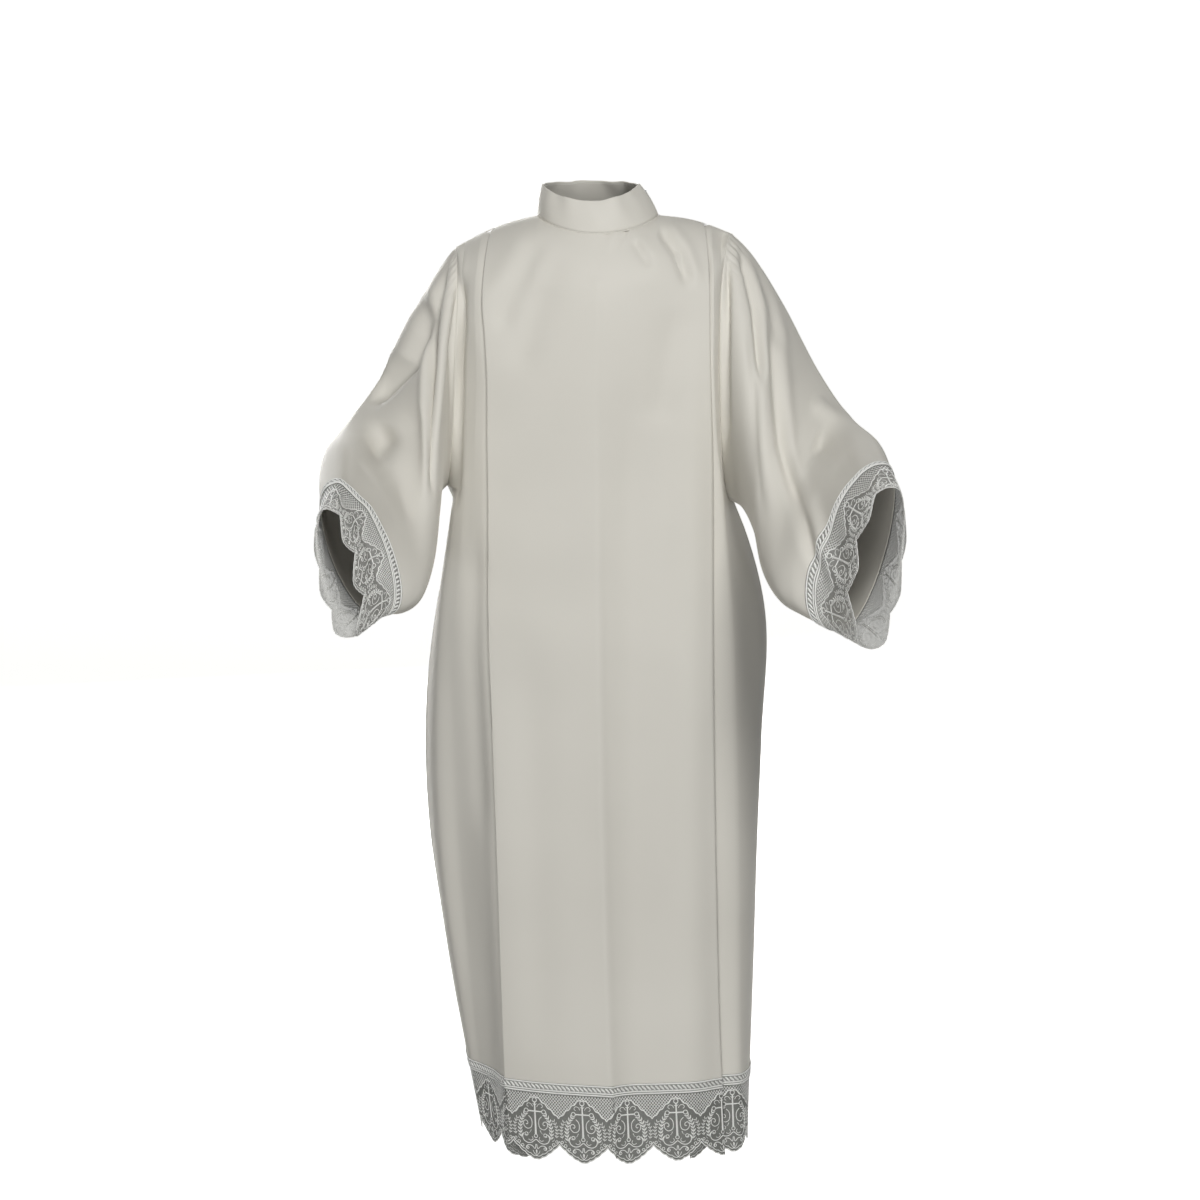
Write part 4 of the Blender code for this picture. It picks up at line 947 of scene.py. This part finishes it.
def layStitches(name, pattern, run, hang, finish, closed=False):
    # the pattern once for each scallop, laid on the hanging cloth at its own height above it
    points, faces, uv = pattern
    first, last = run["first"], run["last"]
    turns = np.arange(first, last + 1)
    s = (points[:, 0] + turns[:, None] * lace["pitch"]).ravel() / 1000 + run["start"]
    d = np.broadcast_to(points[:, 1], (len(turns), len(points))).ravel() / 1000
    h = np.broadcast_to(points[:, 2], (len(turns), len(points))).ravel() / 1000
    allFaces = repeatFaces(faces, len(turns), len(points))
    allUv = np.broadcast_to(uv, (len(turns),) + uv.shape).reshape(-1, 2)
    trim = lace["trim"] / 1000
    keep = np.ones(len(s), bool) if closed else (s > trim) & (s < run["length"] - trim)
    flat = np.stack([s, d, h], axis=-1)
    flat, allFaces, allUv = tidyFaces(flat, allFaces, allUv, keep)
    return addMesh(name, hang(flat[:, 0], flat[:, 1], flat[:, 2]), allFaces, finish, allUv)


def hemRun(face):
    # running length along the hem's edge, and the first and last scallops on it
    places = np.linspace(-lastPlace, lastPlace, laceGrid["hemPlaces"])
    low = np.where(places < 0, hemZ("right", face, np.abs(places)), hemZ("left", face, np.abs(places)))
    edge = wornBody(face, places, low)
    length = lengthAlong(edge)
    panel = np.abs(places) < 34   # between the pleats, where x grows with the place
    start = np.interp(lace["firstTipX"] / 1000, edge[panel, 0], length[panel])
    before, after = start * 1000 / lace["pitch"], (length[-1] - start) * 1000 / lace["pitch"]
    return {"places": places, "low": low, "run": length, "length": length[-1], "start": start,
            "first": math.floor(-before - 0.5), "last": math.ceil(after + 0.5)}


def hangOn(surface, length):
    # the cloth under the lace, worked out once on a fine grid of running length and drop. A place
    # on it is blended from the four points round it, and raised along the normal by the height
    high, low = laceGrid["clothDeep"]
    s = np.linspace(0, length, int(length / laceGrid["clothStep"]))
    d = np.linspace(high, low, laceGrid["clothRows"])
    grid = surface(*np.meshgrid(s, d))
    across, down = np.gradient(grid, axis=1), np.gradient(grid, axis=0)
    normal = unit(np.cross(down, across))

    def hang(atS, atD, h):
        # places on the cloth at a running length and a drop, with a height above it
        i = np.clip(atS / length * (len(s) - 1), 0, len(s) - 1.001)
        j = np.clip((atD - high) / (low - high) * (len(d) - 1), 0, len(d) - 1.001)
        ii, jj = i.astype(int), j.astype(int)
        fi, fj = (i - ii)[..., None], (j - jj)[..., None]
        place, up = [t[jj, ii] * (1 - fi) * (1 - fj) + t[jj, ii + 1] * fi * (1 - fj)
                     + t[jj + 1, ii] * (1 - fi) * fj + t[jj + 1, ii + 1] * fi * fj for t in (grid, normal)]
        return place + unit(up) * np.asarray(h)[..., None]
    return hang


def hangHem(face, run):
    # straight down from the hem's edge
    def surface(s, d):
        # the body's own form carried on below its hem
        place, low = np.interp(s, run["run"], run["places"]), np.interp(s, run["run"], run["low"])
        return wornBody(face, place, low - d)
    hang = hangOn(surface, run["length"])
    return lambda s, d, h: hang(s, d, np.asarray(h) * -outward[face])


def cuffRun(side):
    # running length round the cuff, which the scallops close on
    angle = np.linspace(0, 2 * math.pi, laceGrid["cuffAngles"])
    length = lengthAlong(wornSleeve(side, 1.0, angle))
    return {"angles": angle, "run": length, "length": length[-1], "start": 0.0, "first": 0,
            "last": lace["cuffScallops"] - 1}


def hangCuff(side, run):
    # on along the sleeve from its edge, and back up it for the band, a whole number of scallops round
    around = lace["cuffScallops"] * lace["pitch"] / 1000
    edge = ringPoint(side, 1.0, run["angles"])
    below = np.linalg.norm(ringPoint(side, 1.5, run["angles"]) - edge, axis=-1) / 0.5
    above = np.linalg.norm(ringPoint(side, 0.98, run["angles"]) - edge, axis=-1) / 0.02

    def surface(s, d):
        # the sleeve's own form carried on past its edge
        angle = np.interp(s / around * run["length"], run["run"], run["angles"])
        metres = [np.interp(angle, run["angles"], way) for way in (below, above)]
        return wornSleeve(side, 1 + d / np.where(d > 0, *metres), angle)
    hang = hangOn(surface, around)
    return lambda s, d, h: hang(s % around, d, np.asarray(h) * -sign[side])


def layGround(name, run, hang, finish, low, high, lift, closed=False, scalloped=True):
    # the lace's ground from one drop to the other, or to its scalloped edge
    count = int(run["length"] / laceGrid["groundStep"])
    s = np.linspace(0, run["length"] * (1 - 1 / count) if closed else run["length"], count)
    scale = lace["cuffScallops"] * lace["pitch"] / 1000 / run["length"] if closed else 1.0
    share = np.linspace(0, 1, laceGrid["groundRows" if scalloped else "bandRows"])[:, None]
    u = (s * scale - run["start"]) * 1000
    end = edgeDrop(u) / 1000 if scalloped else high / 1000
    d = low / 1000 + (end - low / 1000) * share + 0 * s
    across = np.broadcast_to(s * scale, d.shape)
    points = hang(across.ravel(), d.ravel(), np.full(d.size, lift / 1000)).reshape(d.shape + (3,))
    uv = np.stack([across, -d], axis=-1)
    faces = gridFaces(len(share), count, closed=closed)
    return addMesh(name, points, faces, finish, uv, lace["ground"] / 1000), points


motif = ribbons(motifStrokes())
net = ribbons(netStrokes())
flatBand = ribbons(bandStrokes())
bandPattern = (flatBand[0] + (0, 0, lace["dashLift"]), *flatBand[1:])


def sewLace(name, run, hang, closed=False):
    # one border of lace: its ground, its straight band and the three layers of stitching on them
    kind, which = name.split("_")
    ground, groundGrid = layGround(f"{name}_tulle", run, hang, tulle[kind], -lace["tuck"], 0, 0.0, closed)
    bandSheet, bandGrid = layGround(f"{name}_band", run, hang, band, -lace["header"], lace["bandOver"],
                                    lace["bandLift"], closed, scalloped=False)
    stitched = layStitches(f"{name}_embroidery", motif, run, hang, thread, closed)
    netting = layStitches(f"{name}_net", net, run, hang, thread, closed)
    dashes = layStitches(f"{name}_dashes", bandPattern, run, hang, thread, closed)
    for piece in (ground, bandSheet, stitched, netting, dashes):
        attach(piece, "robe")
    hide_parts(f"{kind}_lace_{which}")
    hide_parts(f"{kind}_header_{which}")


for face in ("front", "back"):
    run = hemRun(face)
    sewLace(f"hem_{face}", run, hangHem(face, run))
for side in ("right", "left"):
    run = cuffRun(side)
    sewLace(f"cuff_{side}", run, hangCuff(side, run), closed=True)


# Collar: a stiff double band that stands round the neck and opens at the wearer's left. The turn
# starts there and goes round by the front, and the share runs from the neck seam to the top.
collar = {
    "middleX": -0.0105, "half": 0.0685, "front": 0.064, "back": 0.058, "raise": 0.0016,
    "topZ": {"front": 0.029, "side": 0.053, "back": 0.058}, "wall": 0.0022, "gap": 0.0064,
    "height": 0.050, "endTurn": 0.018, "around": 181, "up": 13, "stitchShare": {"top": 0.93, "base": 0.07},
}
sewing = {"step": 0.0029, "size": (0.0022, 0.00055, 0.00022)}   # a stitch's length, width and height


def collarRing(turn, share):
    # two ellipses, the neck seam and the top edge, joined by straight lines that bow out a little
    turn, share = np.broadcast_arrays(np.asarray(turn, float), np.asarray(share, float))
    swing = np.sin(turn)
    ahead = swing >= 0
    high = np.abs(swing) ** 1.5
    lowDepth = np.where(ahead, neck["depth"]["front"], neck["depth"]["back"])
    topDepth = np.where(ahead, collar["front"], collar["back"])
    lowFace = np.where(ahead, neck["z"]["front"], neck["z"]["back"]) - neck["z"]["side"]
    topFace = np.where(ahead, collar["topZ"]["front"], collar["topZ"]["back"]) - collar["topZ"]["side"]
    low = np.stack([neck["half"] * np.cos(turn), -lowDepth * swing,
                    neck["z"]["side"] + collar["raise"] + lowFace * high], axis=-1)
    wave = 0.0009 * np.sin(turn * 7 + 0.6) + 0.0006 * np.sin(turn * 13)
    top = np.stack([collar["middleX"] + collar["half"] * np.cos(turn), -topDepth * swing,
                    collar["topZ"]["side"] + topFace * high + wave * 0.6], axis=-1)
    bow = 0.0016 * np.sin(math.pi * share) + 0.0010 * np.sin(turn * 5 + 1.0) * share * (1 - share) * 4
    out = np.stack([np.cos(turn), -swing, 0 * turn], axis=-1)
    return low + (top - low) * share[..., None] + out * (bow + wave * share)[..., None]


def collarNormal(turn, share):
    # the cross product of the slopes along and up the collar
    across = collarRing(turn + 0.01, share) - collarRing(turn - 0.01, share)
    return unit(np.cross(across, collarRing(turn, share + 0.02) - collarRing(turn, share - 0.02)))


def stitchPattern(count=5):
    # one stitch, 1 long: a lens with its ends pulled into the cloth
    t = np.linspace(0, 1, count)
    swell = np.sin(math.pi * (0.08 + 0.84 * t))
    edge = -0.35 * (1 - swell)
    corners = ((-swell, edge), (0 * t, swell), (swell, edge), (0 * t, -0.4 * swell - 0.2))
    rows = [np.stack([t - 0.5, across, high], axis=-1) for across, high in corners]
    return np.stack(rows, axis=1).reshape(-1, 3), gridFaces(count, 4, closed=True)


def sewLine(name, path, normals, step, size, finish):
    # stitches of (length, width, height) at even steps along a path on the cloth
    run = lengthAlong(path)
    at = np.arange(step / 2, run[-1], step)
    where, up = alongLine(at, run, path), unit(alongLine(at, run, normals))
    ahead = unit(alongLine(at, run, np.gradient(path, axis=0)))
    side = unit(np.cross(up, ahead))
    local, faces = stitchPattern()
    local = local * (size[0], size[1] / 2, size[2])
    points = (where[:, None] + ahead[:, None] * local[None, :, :1] + side[:, None] * local[None, :, 1:2]
              + up[:, None] * local[None, :, 2:])
    uv = np.broadcast_to(local[:, :2], (len(at), len(local), 2))
    row = addMesh(name, points, repeatFaces(faces, len(at), len(local)), finish, uv)
    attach(row, "robe")
    return row


def buildCollar():
    # the wall's own section, out and up the face, over a round top and down the inside, carried
    # round the neck; both ends are rounded off to nothing
    openTurn = math.asin(collar["gap"] / 2 / collar["front"]) + collar["endTurn"]
    inner = np.linspace(openTurn, 2 * math.pi - openTurn, collar["around"])
    quarter = np.linspace(0, math.pi / 2, 6)
    ends = collar["endTurn"] * np.sin(quarter)
    turn = np.concatenate([inner[0] - ends[::-1], inner[1:-1], inner[-1] + ends])
    size = np.concatenate([np.cos(quarter[::-1]), np.ones(len(inner) - 2), np.cos(quarter)])
    size = np.maximum(size, 0.02)
    rise = np.linspace(0, 1, collar["up"])
    over = np.linspace(0, math.pi, 7)[1:-1]
    share = np.concatenate([rise, 1 + 0.022 * np.sin(over), rise[::-1]])
    even = np.ones(len(rise))
    depth = np.concatenate([even, np.cos(over), -even]) * collar["wall"] / 2
    pressed = 1 - 0.45 * np.exp(-(share / 0.03) ** 2)   # thinner at the neck seam
    base = collarRing(turn[:, None], share[None, :])
    normal = collarNormal(turn[:, None], share[None, :])
    grid = base + normal * (depth * pressed)[None, :, None] * size[:, None, None]
    up, around = lengthAlong(grid[len(inner) // 2]), lengthAlong(base[:, 0])
    uv = np.stack(np.meshgrid(up, around), axis=-1)[..., ::-1]
    faces = gridFaces(len(turn), len(share), closed=True)[:, ::-1]
    piece = addMesh("collar_band", grid, faces, satin, uv)
    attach(piece, "robe")
    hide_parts("collar")
    for label, level in collar["stitchShare"].items():
        normals = collarNormal(inner, level)
        path = collarRing(inner, level) + normals * (collar["wall"] / 2 + 0.00005)
        sewLine(f"collar_stitches_{label}", path, normals, sewing["step"], sewing["size"],
                            thread)


buildCollar()
print("collar: band and two rows of stitches")


def tube(path, radius, sides=6, closed=False):
    # a round section carried along a path, drawn in to a point at an open end
    heading = np.roll(path, -1, axis=0) - np.roll(path, 1, axis=0) if closed else np.gradient(path, axis=0)
    heading = unit(heading)
    guide = np.where(np.abs(heading[:, 2:]) < 0.9, (0, 0, 1.0), (0, 1.0, 0))
    first = unit(np.cross(heading, guide))
    second = np.cross(heading, first)
    turn = np.arange(sides) * 2 * math.pi / sides
    ring = first[:, None] * np.cos(turn)[:, None] + second[:, None] * np.sin(turn)[:, None]
    size = np.full(len(path), radius)
    if not closed:
        size[[0, -1]] = radius * 0.05
    points = path[:, None] + ring * size[:, None, None]
    if closed:
        points = np.concatenate([points, points[:1]])
    return points, gridFaces(len(points), sides, closed=True)


def addSeam(name, path, radius, closed=False):
    # a seam's rolled edge, as a thin round cord of the same cloth
    points, faces = tube(path, radius, closed=closed)
    run = lengthAlong(points[:, 0])
    uv = np.stack(np.broadcast_arrays(run[:, None], np.linspace(0, radius * 6, points.shape[1])), axis=-1)
    piece = addMesh(name, points, faces, satin, uv)
    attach(piece, "robe")
    return piece


seamRadius = {"armhole": 0.0009, "side": 0.0007, "shoulder": 0.0008, "neck": 0.0011}
pastZip = 4.2   # the station where the left shoulder's seam starts, past the zip
for side in ("right", "left"):
    ring = wornSleeve(side, 0.0, np.arange(240) * 2 * math.pi / 240)
    addSeam(f"armhole_seam_{side}", ring, seamRadius["armhole"], closed=True)
    edge = cloth["front"]["grid"][:, 0 if side == "right" else -1]
    edge = edge[edge[:, 2] < sleeveForm[side][0][9] + 0.004]   # from the underarm down
    addSeam(f"side_seam_{side}", edge, seamRadius["side"])
    first = neck["station"] if side == "right" else pastZip
    x, y, z = topEdge(side, "front", np.linspace(first, 5, 60))
    path = np.stack([x * sign[side], 0 * y, z], axis=-1)
    addSeam(f"shoulder_seam_{side}", path, seamRadius["shoulder"])
neckRound = np.linspace(0.07, 2 * math.pi - 0.07, 181)
addSeam("neck_seam", collarRing(neckRound, 0.0) - (0, 0, 0.0006), seamRadius["neck"])


# Zip: a coil on a woven tape, from the collar's top over the neck seam and along the shoulder.
zipper = {
    "endX": 0.163, "tapeWidth": 0.0062, "tapeWall": 0.0006, "tapeDrop": 0.0020, "coilWidth": 0.0046,
    "pitch": 0.00135, "coilDrop": 0.0006, "sliderBelow": 0.013, "length": 0.0085, "width": 0.0058,
    "height": 0.0016, "low": 0.0004, "bore": 0.0020, "bar": 0.0008, "bailWidth": 0.0020,
    "pullLength": 0.0155, "pullWidth": 0.0052, "pullWall": 0.00099, "edge": 0.00022,
    "coilRound": (0.00052, 0.00062), "stitchOut": 0.0014, "stitchStep": 0.0030,
    "stitchSize": (0.0022, 0.0005, 0.0002),
}


def zipPath(count=120):
    # points and outward headings in the plane y = 0: up the shoulder, then up the collar's edge
    share = np.linspace(0.97, 0.02, 30)
    band = collarRing(np.zeros(30), share)
    x = np.linspace(neck["half"] + 0.006, zipper["endX"], 40)
    tipX = abs(ringPoint("left", 0, 0)[0])
    station = np.interp(x, (neck["half"], neck["shoulderEdgeX"], tipX), (neck["station"], 1, 5))
    shoulder = np.stack([x, 0 * x, topEdge("left", "front", station)[2]], axis=-1)
    line = np.concatenate([band * (1, 0, 1), shoulder])
    run = lengthAlong(line)
    at = np.linspace(0, run[-1], count)
    path = alongLine(at, run, line)
    for _ in range(6):   # rounds the turn at the neck seam
        path[1:-1] = (path[:-2] + 2 * path[1:-1] + path[2:]) / 4
    heading = unit(np.gradient(path, axis=0))
    out = np.stack([-heading[:, 2], 0 * at, heading[:, 0]], axis=-1)
    return path, heading, out


def buildZip():
    # tape: nine points across the path. Coil: a round grain for each turn, on alternate sides
    path, heading, out = zipPath()
    across = np.linspace(-1, 1, 9)[None, :, None] * (0, zipper["tapeWidth"] / 2, 0)
    grid = (path - out * zipper["tapeDrop"])[:, None] + across
    run = lengthAlong(path)
    uv = np.stack(np.broadcast_arrays(run[:, None], across[..., 1]), axis=-1)
    tape = addMesh("zip_tape_woven", grid, gridFaces(*grid.shape[:2]), tapeTwill, uv, zipper["tapeWall"])
    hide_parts("zip_tape")
    at = np.arange(zipper["pitch"], run[-1] - zipper["pitch"], zipper["pitch"] / 2)
    hand = np.where(np.arange(len(at)) % 2 == 0, 1.0, -1.0)[:, None, None]
    centre = alongLine(at, run, path)
    way, up = unit(alongLine(at, run, heading)), unit(alongLine(at, run, out))
    t = np.linspace(0, 1, 7)
    belly = np.sin(math.pi * (0.06 + 0.88 * t)) ** 0.5
    turn = np.arange(6) * math.pi / 3
    reach = (t - 0.36) * zipper["coilWidth"] * 0.78
    thick, high = zipper["coilRound"]
    local = np.stack([thick * belly[:, None] * np.cos(turn), np.broadcast_to(reach[:, None], (7, 6)),
                      high * belly[:, None] * np.sin(turn)], axis=-1).reshape(-1, 3)
    faces = gridFaces(7, 6, closed=True)
    points = (centre - up * zipper["coilDrop"])[:, None] + way[:, None] * local[:, :1]
    points = points + up[:, None] * local[:, 2:] + hand * local[:, 1:2] * (0, 1.0, 0)
    flipped = np.where(hand > 0, faces[None], faces[None, :, ::-1])
    coil = addMesh("zip_coil", points, repeatFaces(flipped, len(at), len(local)), coilNylon)
    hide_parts("zip_chain")
    for piece in (tape, coil):
        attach(piece, "robe")
    # the cloth's two folded edges beside the coil, with a row of stitches along each
    rows = []
    onShoulder = path[:, 0] > neck["half"] + 0.004
    for face in ("front", "back"):
        line = path + (0, outward[face] * (zipper["tapeWidth"] / 2 + zipper["stitchOut"]), 0) + out * 0.0004
        rows.append(sewLine(f"zip_stitches_{face}", line[onShoulder], out[onShoulder], zipper["stitchStep"],
                            zipper["stitchSize"], thread))
    return [tape, coil, *rows]


def sliderFrame():
    # local x runs up the zip, y across it and z out of the cloth
    base, top = collarRing(0.0, 0.0), collarRing(0.0, 1.0)
    up = unit(top - base)
    out = np.array([up[2], 0, -up[0]])
    spot = top - up * zipper["sliderBelow"]
    return spot, np.stack([up, np.cross(out, up), out])


def placed(local):
    # local points turned into the slider's frame and moved to its spot
    spot, axes = sliderFrame()
    return spot + np.asarray(local, float) @ axes


def squared(wave):
    # a sine or cosine pushed out toward its extremes, which makes a circle a rounded square
    return np.sign(wave) * np.abs(wave) ** 0.45


def buildSlider():
    # body: rounded sections from the narrow foot to the wide mouth, closed to a point at each end
    t = np.linspace(0, 1, 21)
    x = (t - 0.5) * zipper["length"]
    swell = np.sin(math.pi * np.clip(0.01 + 0.98 * t, 0, 1)) ** 0.32
    width = zipper["width"] / 2 * (0.78 + 0.22 * t ** 0.7) * swell
    turn = np.arange(20) * 2 * math.pi / 20
    y = width[:, None] * squared(np.cos(turn))
    z = zipper["low"] + zipper["height"] / 2 * (1 + swell[:, None] * squared(np.sin(turn)))
    body = addMesh("zip_slider_body", placed(np.stack(np.broadcast_arrays(x[:, None], y, z), axis=-1)),
                   gridFaces(21, 20, closed=True), nickel)
    # bail: a flat bar that rises from the body, bends over and comes down again
    high = zipper["low"] + zipper["height"]
    a = np.linspace(0, math.pi, 15)
    rise = zipper["bore"] / 2 + zipper["bar"] / 2
    bend = high - 0.0002 + (zipper["bore"] + zipper["bar"] / 2) * np.sin(a) ** 0.7
    line = np.stack([-rise * np.cos(a), 0 * a, bend], axis=-1)
    heading = unit(np.gradient(line, axis=0))
    lift = np.stack([-heading[:, 2], 0 * a, heading[:, 0]], axis=-1)
    corner = np.arange(12) * 2 * math.pi / 12
    ring = (lift[:, None] * (zipper["bar"] / 2 * squared(np.cos(corner)))[:, None]
            + np.array([0, 1.0, 0]) * (zipper["bailWidth"] / 2 * squared(np.sin(corner)))[:, None])
    bail = addMesh("zip_slider_bail", placed(line[:, None] + ring), gridFaces(15, 12, closed=True), nickel)
    for piece in (body, bail):
        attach(piece, "robe")
    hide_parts("zip_slider")
    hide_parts("zip_slider")


def buildPull():
    # from the window's outline out to the tab's, rounded at its foot, with a raised rim
    turn = np.arange(40) * 2 * math.pi / 40
    share = np.linspace(0, 1, 6)[:, None]
    hole = np.stack([-0.0018 + 0.0013 * squared(np.cos(turn)), 0.0016 * squared(np.sin(turn))], axis=-1)
    reach = zipper["pullLength"] / 2
    narrow = 1 - 0.16 * (np.cos(turn) < 0) * np.cos(turn) ** 2
    outer = np.stack([0.0005 - reach + reach * squared(np.cos(turn)),
                      zipper["pullWidth"] / 2 * squared(np.sin(turn)) * narrow], axis=-1)
    flat = hole + (outer - hole) * share[..., None]
    rim = 0.00008 * (np.abs(share - 0.5) > 0.35)
    level = np.broadcast_to(zipper["low"] + zipper["height"] + zipper["bore"] / 2 + rim, flat.shape[:2])
    grid = placed(np.concatenate([flat, level[..., None]], axis=-1))
    faces = gridFaces(*grid.shape[:2], closed=True)[:, ::-1]
    pull = addMesh("zip_pull_tab", grid, faces, nickel, thickness=zipper["pullWall"])
    edge = pull.modifiers.new("edge", "BEVEL")
    edge.width, edge.segments, edge.limit_method = zipper["edge"], 2, "ANGLE"
    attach(pull, "pull_tab")
    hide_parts("zip_pull")


zipPieces = buildZip()
buildSlider()
buildPull()
print("zip: tape, coil, slider and pull tab")
# The floor runs up into a backdrop behind, and glows as paper lit from below does. Soft lights
# stand high at the front right, low in front, at the left and behind.
studio = {
    "floorZ": -1.5, "floor": "#f2f2f0", "glow": 0.95, "halfWidth": 9.0, "front": -9.0, "back": 5.0,
    "bend": 1.6, "high": 9.0, "wall": "#fafaf9", "fill": "#ffffff", "fillStrength": 0.03,
}
lamps = (
    {"name": "key", "at": (1.05, -3.76, 3.25), "size": 1.6, "power": 168, "aim": (0, 0, -0.65)},
    {"name": "front", "at": (-0.38, -5.48, -0.8), "size": 1.6, "power": 138, "aim": (0, 0, -0.75)},
    {"name": "side", "at": (-5.44, -0.76, -0.3), "size": 1.6, "power": 26, "aim": (0, 0, -0.6)},
    {"name": "behind", "at": (-1.3, 4.3, 0.5), "size": 2.5, "power": 190, "aim": (0, 0, -0.6)},
)
view = {"lensMm": 82.77, "sensorMm": 36.0, "at": (0.003, -4.0, 0.031), "downDegrees": 8.25, "far": 100}


def addStudio():
    # the floor's line back, a quarter turn up, and straight up from there
    paper = toLinear(studio["floor"])
    made, _, _ = newFinish("paperBackdropMatt", Base_Color=paper, Roughness=0.9, Emission_Color=paper,
                           Emission_Strength=studio["glow"])
    turn = np.linspace(0, math.pi / 2, 25)
    deep = studio["back"] + studio["bend"] * np.sin(turn)
    y = np.concatenate([[studio["front"]], deep, [studio["back"] + studio["bend"]]])
    z = np.concatenate([[0], studio["bend"] * (1 - np.cos(turn)), [studio["high"]]]) + studio["floorZ"]
    x = np.array([-studio["halfWidth"], studio["halfWidth"]])
    grid = np.stack(np.broadcast_arrays(x, y[:, None], z[:, None]), axis=-1)
    floor = addMesh("studio_floor", grid, gridFaces(len(y), 2)[:, ::-1], made)
    floor.visible_diffuse = False   # it would light the cloth's sides as much as the lamps light its front


def addLamps():
    # square soft lights, each turned to the point that it aims at
    for lamp in lamps:
        data = bpy.data.lights.new(lamp["name"], "AREA")
        data.size, data.energy = lamp["size"], lamp["power"]
        made = bpy.data.objects.new(lamp["name"], data)
        bpy.context.collection.objects.link(made)
        made.location = lamp["at"]
        heading = Vector(lamp["aim"]) - Vector(lamp["at"])
        made.rotation_euler = heading.to_track_quat("-Z", "Y").to_euler()
        made.visible_camera = False


def addRoom():
    # a weak even fill for the light, and for the camera a pale wall past the paper
    world = bpy.data.worlds.new("studio")
    bpy.context.scene.world = world
    world.use_nodes = True
    tree = world.node_tree
    fill = tree.nodes["Background"]
    fill.inputs["Color"].default_value = toLinear(studio["fill"])
    fill.inputs["Strength"].default_value = studio["fillStrength"]
    wall = addNode(tree, "ShaderNodeBackground", {"Color": toLinear(studio["wall"]), "Strength": 1.0})
    seen = addNode(tree, "ShaderNodeLightPath").outputs["Is Camera Ray"]
    mixed = addNode(tree, "ShaderNodeMixShader", links={0: seen, 1: fill.outputs[0], 2: wall.outputs[0]})
    tree.links.new(mixed.outputs[0], tree.nodes["World Output"].inputs["Surface"])


def addCamera():
    # in front of the robe, looking a little down
    data = bpy.data.cameras.new("camera")
    data.lens, data.sensor_width, data.sensor_fit = view["lensMm"], view["sensorMm"], "HORIZONTAL"
    data.clip_end = view["far"]
    made = bpy.data.objects.new("camera", data)
    bpy.context.collection.objects.link(made)
    made.location = view["at"]
    made.rotation_euler = (math.radians(90 - view["downDegrees"]), 0, 0)
    bpy.context.scene.camera = made


bpy.context.scene.view_settings.view_transform = "Standard"
addStudio()
addLamps()
addRoom()
addCamera()
print("stage: floor, lights, room and camera")
